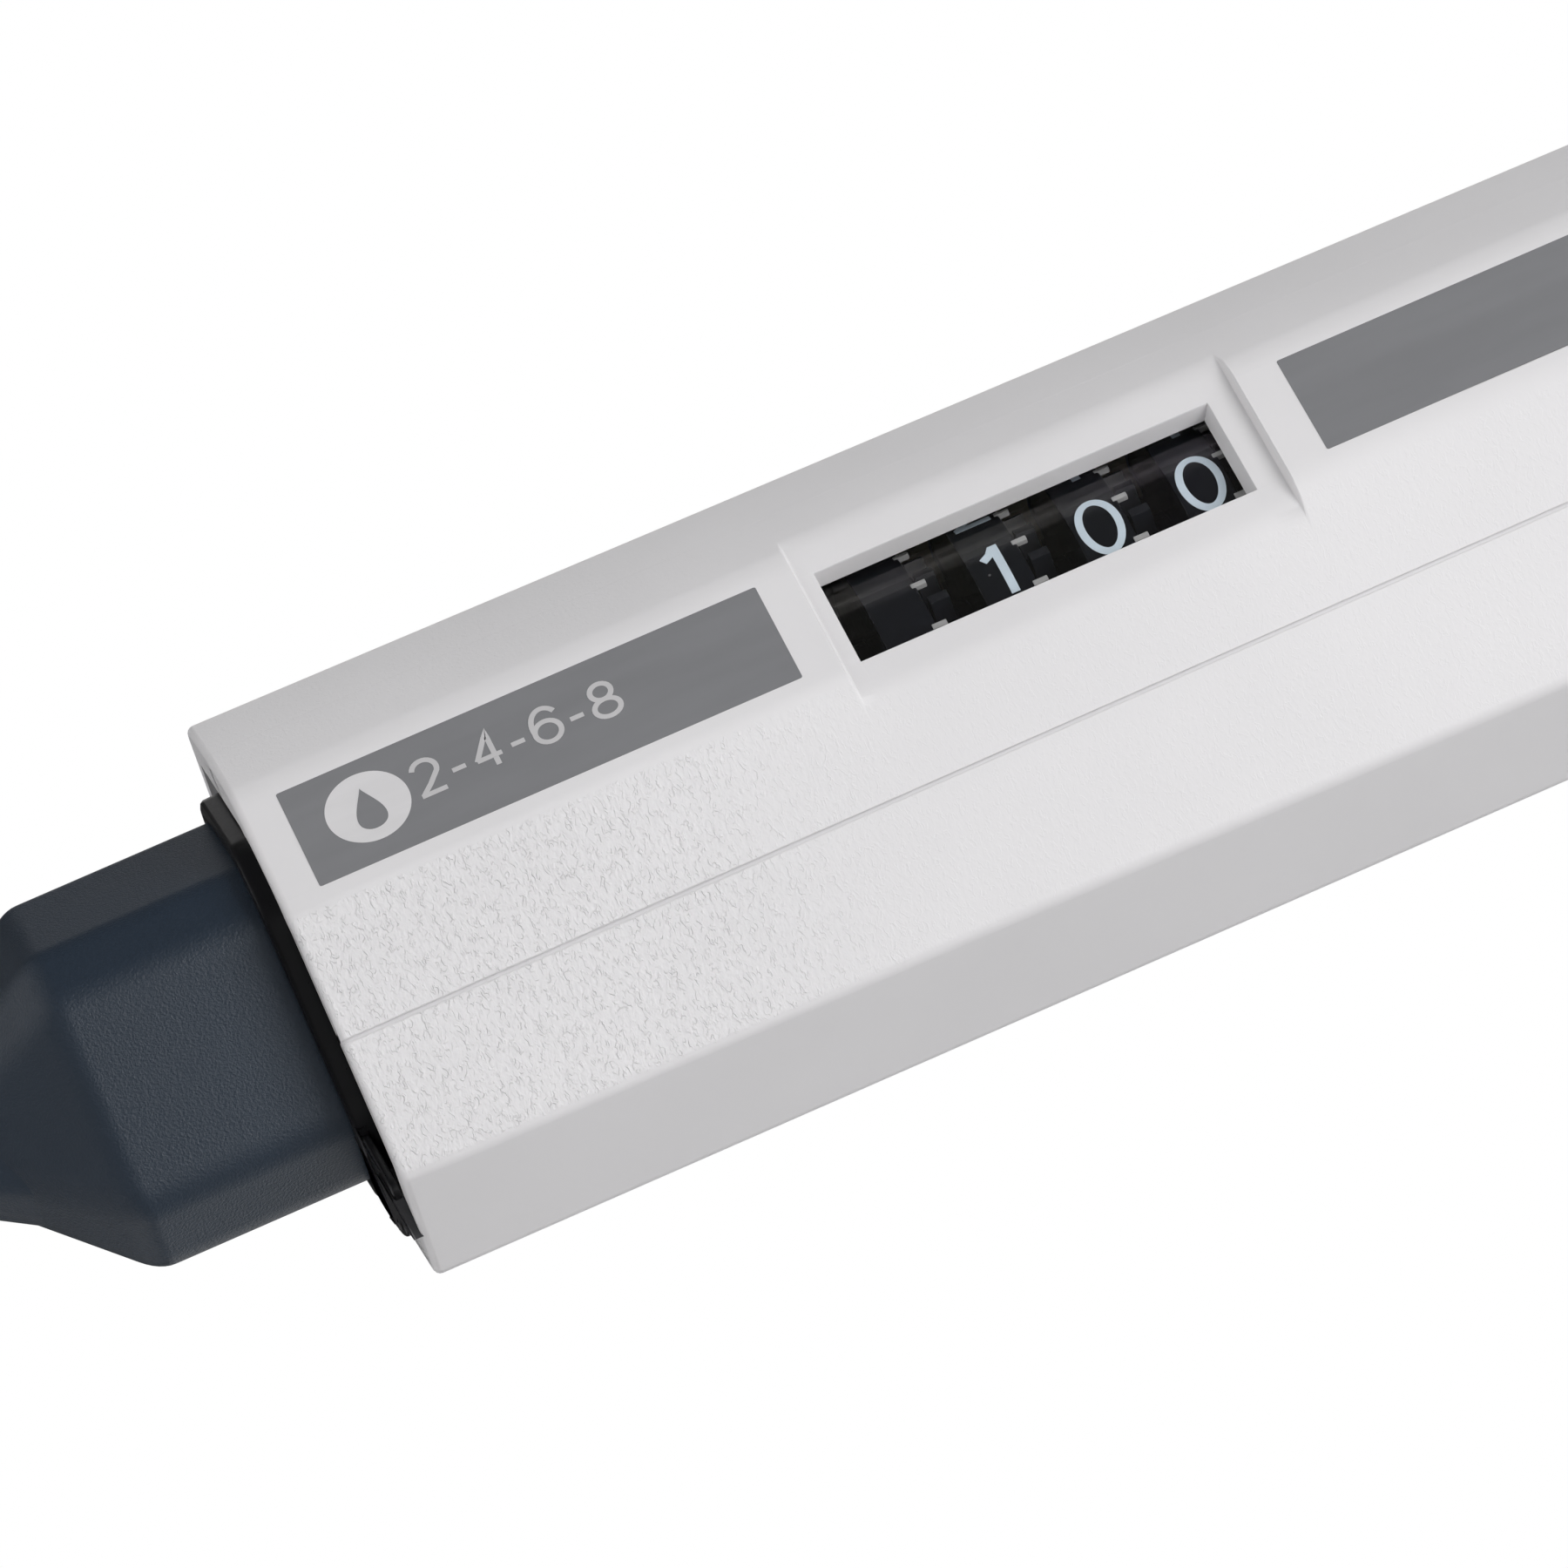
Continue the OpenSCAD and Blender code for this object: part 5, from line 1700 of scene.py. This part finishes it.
class PIPETTE_OT_head(bpy.types.Operator):
    """Make the multichannel head: shells, screws, swivel collar, block, yoke and comb"""

    bl_idname = "pipette.head"
    bl_label = "Head"

    def execute(self, context):
        self.shells(context.scene.pipette_head)
        self.collar()
        self.screws()
        low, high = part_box("cylinder_block")
        block = rounded(
            [Vector((low.x, low.y)), Vector((high.x, low.y)), Vector((high.x, high.y)),
             Vector((low.x, high.y))], 1.2 * MM
        )
        coat(slab("block_foot", block, low.z, high.z, 0.35 * MM, 0.35 * MM, upright, "head",
                  "black", ["cylinder_block"]), "black")
        coat(eased_copy("ejector_comb", "comb_plate", "tip_ejector", 0.3 * MM), "navy")
        self.yoke()
        return {"FINISHED"}

    @staticmethod
    def yoke():
        """The sheet strip that carries the comb, and the ring at its top."""
        low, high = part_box("ejector_yoke")
        bottom, under = low.z, high.z - 2.5 * MM
        side = rounded(
            [Vector(p) for p in (
                (4.6 * MM, high.z), (4.6 * MM, under), (high.y - 1.2 * MM, under),
                (high.y - 1.2 * MM, bottom), (high.y, bottom), (high.y, high.z)
            )], [0.5 * MM, 0.5 * MM, 1.0 * MM, 0.45 * MM, 0.45 * MM, 2.2 * MM], 8
        )

        def place(p, x):
            return Vector((x, p.x, p.y))

        coat(slab("yoke_strip", side, -5 * MM, 5 * MM, 0.3 * MM, 0.3 * MM, place,
                  "tip_ejector", "steel", ["ejector_yoke"]), "steel")
        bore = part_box("nose_tube")[1].x + 0.15 * MM
        profile = softened([(bore, under), (high.x, under), (high.x, high.z), (bore, high.z)],
                           0.45 * MM)
        coat(lathe("yoke_ring", profile, "tip_ejector", "steel"), "steel")

    @staticmethod
    def shells(head):
        """Front and back shells with a groove where they meet, and marks over the channels."""
        low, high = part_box("head_shell_front")
        wide, foot, top = high.x, low.z, high.z
        shoulder = top - head.shoulder
        corners = [(-wide, foot, 2.9), (wide, foot, 2.9), (wide, shoulder, 5.0),
                   (head.neck, top, 4.0), (-head.neck, top, 4.0), (-wide, shoulder, 5.0)]
        outline = rounded(
            [Vector((x, z)) for x, z, _ in corners], [r * MM for _, _, r in corners], 8
        )
        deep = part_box("head_shell_back")[1].y
        for name, node, outer, inner in (
            ("head_front_skin", "head_shell_front", low.y, -0.06 * MM),
            ("head_back_skin", "head_shell_back", deep, 0.06 * MM),
        ):
            sign = 1 if outer > 0 else -1
            rows = [(sign * (abs(outer) - rise * 1.1), inset)
                    for rise, inset in end_rounding(2.5 * MM, 6)]
            rows += [(inner + sign * 0.25 * MM, 0.0), (inner + sign * 0.1 * MM, 0.06 * MM),
                     (inner, 0.22 * MM), (inner, head.wall),
                     (sign * (abs(outer) - head.wall), head.wall)]
            rings = [[frontal(p, y) for p in shrunk(outline, inset)] for y, inset in rows]
            coat(loft(name, rings, "head", "shell", [node]), "smooth_shell")
        verts, faces = box_shape(
            (-31.95 * MM, low.y - 0.3 * MM, foot + 2.2 * MM),
            (-31.05 * MM, low.y + 0.6 * MM, foot + 7.0 * MM), 0.28 * MM, 3
        )
        mark = piece("channel_marks", verts, faces, "head", "shell")
        repeat(mark, CHANNELS, move_step=(CHANNEL_PITCH, 0.0, 0.0), key="smooth_shell")

    @staticmethod
    def collar():
        """The ribbed collar on which the head swivels."""
        low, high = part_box("swivel_collar")
        radius = 8.0 * MM
        head_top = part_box("head_shell_front")[1].z
        rows = [(-0.9, 0.0, low.z + 2.5 * MM), (-0.9, 0.0, head_top + 0.5 * MM),
                (-0.75, 0.0, head_top + 0.8 * MM), (0.0, 0.0, head_top + 0.9 * MM),
                (0.0, 1.0, head_top + 1.5 * MM), (0.0, 1.0, high.z - 1.2 * MM),
                (0.1, 0.0, high.z - 0.6 * MM), (0.35, 0.0, high.z - 0.15 * MM),
                (0.9, 0.0, high.z), (2.6, 0.0, high.z), (2.8, 0.0, high.z - 0.6 * MM)]
        rings = [
            level(scaled(notched(radius, 24, 0.4 * MM * flute), radius, inset * MM), z)
            for inset, flute, z in rows
        ]
        coat(loft("swivel_collar_skin", rings, "head", "navy", ["swivel_collar"]), "navy")

    @staticmethod
    def screws():
        """Four screws that hold the shells, on the back."""
        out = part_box("head_shell_back")[1].y
        sunk, radius, rise = 0.1 * MM, 2.1 * MM, 0.7 * MM
        first = True
        for name, x, z in (
            ("upper_shell_screws", 21.4 * MM, -113.5 * MM),
            ("lower_shell_screws", 27.0 * MM, -152.5 * MM),
        ):
            pair = screw(name, -x, out - sunk, z, radius, rise, "head")
            if first:
                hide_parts("shell_screws")
                first = False
            repeat(pair, 2, move_step=(2 * x, 0.0, 0.0), key="steel")


def eased_copy(node, name, body, bevel, sharp=25.0):
    """A copy of a CAD node with clean faces and softened edges."""
    bm = bmesh.new()
    bm.from_mesh(NODES[node].data)
    bmesh.ops.remove_doubles(bm, verts=bm.verts, dist=0.002 * MM)
    bmesh.ops.dissolve_limit(
        bm, angle_limit=math.radians(1.0), verts=bm.verts, edges=bm.edges
    )
    edges = [
        e for e in bm.edges
        if len(e.link_faces) == 2 and e.calc_face_angle() > math.radians(sharp)
    ]
    bmesh.ops.bevel(
        bm, geom=edges, offset=bevel, segments=2, profile=0.5, affect="EDGES",
        clamp_overlap=True,
    )
    mesh = bpy.data.meshes.new(name)
    bm.to_mesh(mesh)
    bm.free()
    obj = bpy.data.objects.new(name, mesh)
    bpy.context.scene.collection.objects.link(obj)
    return settle(obj, body, [node])


class PIPETTE_OT_nozzles(bpy.types.Operator):
    """Make the eight nozzles that hold the tips"""

    bl_idname = "pipette.nozzles"
    bl_label = "Nozzles"

    def execute(self, context):
        low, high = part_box("nozzle_1")
        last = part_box(f"nozzle_{CHANNELS}")[0]
        x = (low.x + high.x) / 2
        foot, top = low.z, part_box("cylinder_block")[0].z
        grip, tip, air = 2.2, 1.85, 0.6
        profile = [
            (air, 3.0), (air, 0.1), (air + 0.12, 0.0), (tip - 0.25, 0.0), (tip - 0.06, 0.08),
            (tip, 0.3), (tip + 0.1, 1.3), (grip, 1.5), (grip + 0.03, 1.75), (grip, 2.0),
            (tip + 0.15, 2.2), (tip + 0.2, 3.6), (grip, 3.8), (grip + 0.03, 4.05), (grip, 4.3),
            (tip + 0.25, 4.5), (grip, 8.0), (2.6, 12.9), (3.45, 13.0), (3.6, 13.15),
            (3.6, 13.85), (3.45, 14.0), (2.6, 14.2), (air, 14.2),
        ]
        points = [(r * MM, foot + z * MM) for r, z in profile]
        assert abs(foot + 14 * MM - top) < 0.1 * MM
        one = lathe("nozzle_skins", points, "head", "resin",
                    [f"nozzle_{k + 1}" for k in range(CHANNELS)], centre=(x, 0.0), steps=48)
        step = (last.x - low.x) / (CHANNELS - 1)
        repeat(one, CHANNELS, move_step=(step, 0.0, 0.0), key="resin")
        return {"FINISHED"}


# ---- Springs ----


class PIPETTE_OT_springs(bpy.types.Operator):
    """Make copies of the coil springs in steel that move with their bodies"""

    bl_idname = "pipette.springs"
    bl_label = "Springs"

    def execute(self, context):
        for joint in frame["joints"]:
            for soft in joint.get("deforming_nodes", ()):
                self.spring(joint, soft["node"], soft["fixed_end_z_m"])
        return {"FINISHED"}

    @staticmethod
    def spring(joint, node, foot):
        """A copy of a coil spring in steel that moves with its body; joint and foot are not used.
        """
        mesh = NODES[node].data.copy()
        recalculate(mesh)
        coils = bpy.data.objects.new(node + "_coils", mesh)
        bpy.context.scene.collection.objects.link(coils)
        settle(coils, body_of(NODES[node])[0], [node], weighted=False)
        coat(coils, "steel")
        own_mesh(coils)


# ---- Stage ----


def heading(azimuth, elevation):
    """The direction from the object toward an azimuth (0 is in front) and elevation."""
    flat = math.cos(elevation)
    return Vector(
        (math.sin(azimuth) * flat, -math.cos(azimuth) * flat, math.sin(elevation))
    )


class PIPETTE_OT_stage(bpy.types.Operator):
    """Set the camera, lamps, surroundings and floor"""

    bl_idname = "pipette.stage"
    bl_label = "Studio"

    def execute(self, context):
        scene, studio = context.scene, context.scene.pipette_studio
        scene.view_settings.view_transform = "Standard"
        target = Vector((0.0, 0.0, studio.target_z))
        self.camera(scene, studio, target)
        self.lamp("key", math.radians(30), math.radians(38), 0.55, 0.3, studio.key, target)
        self.lamp("side", math.radians(-90), math.radians(8), 1.3, 0.9, studio.side, target)
        self.lamp("back", math.radians(215), math.radians(10), 1.3, 0.9, studio.back, target)
        self.lamp("top", 0.0, math.radians(90), 1.5, 1.4, studio.top, target)
        self.world(scene, studio)
        self.floor()
        return {"FINISHED"}

    @staticmethod
    def camera(scene, studio, target):
        out = heading(studio.azimuth, studio.elevation)
        right = (-out).cross(Vector((0, 0, 1))).normalized()
        up = right.cross(-out)
        c, s = math.cos(studio.roll), math.sin(studio.roll)
        right, up = right * c + up * s, up * c - right * s
        data = bpy.data.cameras.new("camera")
        data.lens = studio.lens
        data.sensor_width = 36.0
        data.clip_start = 0.01
        camera = bpy.data.objects.new("camera", data)
        matrix = Matrix((right, up, out)).transposed().to_4x4()
        matrix.translation = target + out * studio.distance
        camera.matrix_world = matrix
        scene.collection.objects.link(camera)
        scene.camera = camera

    @staticmethod
    def lamp(name, azimuth, elevation, distance, size, level_, target):
        """A square lamp that lights a surface facing it at the level."""
        data = bpy.data.lights.new(name, "AREA")
        data.shape = "SQUARE"
        data.size = size
        data.energy = level_ * math.pi**2 * distance**2
        lamp = bpy.data.objects.new(name, data)
        out = heading(azimuth, elevation)
        lamp.location = target + out * distance
        lamp.rotation_euler = out.to_track_quat("Z", "Y").to_euler()
        lamp.visible_camera = False
        lamp.visible_glossy = name == "key"
        lamp.visible_transmission = False
        bpy.context.scene.collection.objects.link(lamp)

    @staticmethod
    def world(scene, studio):
        """Surroundings: white to the lens, dim on dull surfaces, three soft panels in gloss."""
        panels = (  # heading, height, full inside, nothing outside, strength
            (52.0, 5.0, 8.0, 40.0, 0.95), (152.0, 5.0, 12.0, 45.0, 1.2),
            (-142.0, 5.0, 10.0, 42.0, 0.6),
        )
        world = bpy.data.worlds.new("studio")
        world.use_nodes = True
        scene.world = world
        tree = world.node_tree
        maths = Shade(tree)
        path = tree.nodes.new("ShaderNodeLightPath").outputs
        camera = Shade(tree, path["Is Camera Ray"])
        glossy = Shade(tree, path["Is Glossy Ray"])
        clear = Shade(tree, path["Is Transmission Ray"])
        where = maths.node("TexCoord", out="Generated")
        sheen = 0.08
        for azimuth, elevation, inner, outer, strength in panels:
            out = heading(math.radians(azimuth), math.radians(elevation))
            facing = maths.node(
                "VectorMath", {0: where, 1: tuple(out)}, out="Value", operation="DOT_PRODUCT"
            )
            a, b = math.cos(math.radians(inner)), math.cos(math.radians(outer))
            sheen = facing.above((a + b) / 2, (a - b) / 2) * strength + sheen
        plain = 1 - (1 - camera) * (1 - clear)
        white = plain + (1 - plain) * glossy * sheen
        dull = (1 - plain) * (1 - glossy) * studio.ambient
        background = tree.nodes["Background"]
        background.inputs["Color"].default_value = (1, 1, 1, 1)
        maths.feed(background.inputs["Strength"], white + dull)

    @staticmethod
    def floor():
        """A pale floor under the lowest piece, near black in reflections but for two pale patches:
        a painted reflection that paints highlights on the neck.
        """
        z = CAD_BOX[0][2] - 0.5 * MM
        reach = 6.0
        verts = [(-reach, -reach, z), (reach, -reach, z), (reach, reach, z), (-reach, reach, z)]
        obj = solid("floor", verts, [(0, 1, 2, 3)])
        material, maths, shader = finish("floor_paper", Specular_IOR_Level=0.0)
        shader.inputs["Roughness"].default_value = 0.9
        where = places(maths)
        mottle = maths.noise(9.0, where, detail=3.0)
        path = material.node_tree.nodes.new("ShaderNodeLightPath").outputs
        camera = Shade(material.node_tree, path["Is Camera Ray"])
        glossy = Shade(material.node_tree, path["Is Glossy Ray"])
        paper = mottle.above(0.5, 0.4).mix((0.80, 0.80, 0.80), (0.83, 0.83, 0.83))
        # painted reflection: to glossy rays the floor is near black, which darkens its reflection
        # in the object, save two pale patches whose reflection is a painted highlight on the neck
        dark = glossy
        for x, y, size in ((-88 * MM, -50 * MM, 85 * MM), (112 * MM, 199 * MM, 130 * MM)):
            apart = maths.node(
                "VectorMath", {0: where, 1: (x, y, z)}, out="Value", operation="DISTANCE"
            )
            dark = dark * apart.above(size, size / 2)
        maths.feed(shader.inputs["Base Color"], dark.mix(paper, (0.06, 0.06, 0.06)))
        away = maths.node("VectorMath", {0: where}, out="Value", operation="LENGTH")
        far = away.above(0.8, 0.5)
        glow = (camera * (far * 0.7 + 0.3)).mix((0.0, 0.0, 0.0), (1.0, 1.0, 1.0))
        maths.feed(shader.inputs["Emission Color"], glow)
        shader.inputs["Emission Strength"].default_value = 1.0
        obj.data.materials.append(material)


STEPS = (
    "finishes", "grip", "panels", "counter", "neck", "top", "hook", "head", "nozzles", "springs",
    "stage",
)


class PIPETTE_PT_panel(bpy.types.Panel):
    """Sizes, finishes and studio of the pipette"""

    bl_label = "Multichannel Pipette"
    bl_idname = "PIPETTE_PT_panel"
    bl_space_type = "VIEW_3D"
    bl_region_type = "UI"
    bl_category = "Pipette"

    def draw(self, context):
        for group in GROUPS:
            values = getattr(context.scene, group)
            box = self.layout.box()
            box.label(text=group.split("_")[1].title())
            for name in values.bl_rna.properties.keys():
                if name not in ("rna_type", "name"):
                    box.prop(values, name)
        for step in STEPS:
            self.layout.operator("pipette." + step)


CLASSES = (
    *GROUPS.values(), PIPETTE_OT_finishes, PIPETTE_OT_grip, PIPETTE_OT_panels,
    PIPETTE_OT_counter, PIPETTE_OT_neck, PIPETTE_OT_top, PIPETTE_OT_hook, PIPETTE_OT_head,
    PIPETTE_OT_nozzles, PIPETTE_OT_springs, PIPETTE_OT_stage, PIPETTE_PT_panel,
)


def register():
    for cls in CLASSES:
        bpy.utils.register_class(cls)
    for name, group in GROUPS.items():
        setattr(bpy.types.Scene, name, bpy.props.PointerProperty(type=group))


def unregister():
    for name in GROUPS:
        delattr(bpy.types.Scene, name)
    for cls in reversed(CLASSES):
        bpy.utils.unregister_class(cls)


def main():
    register()
    for step in STEPS:
        getattr(bpy.ops.pipette, step)()


if __name__ == "__main__":
    main()
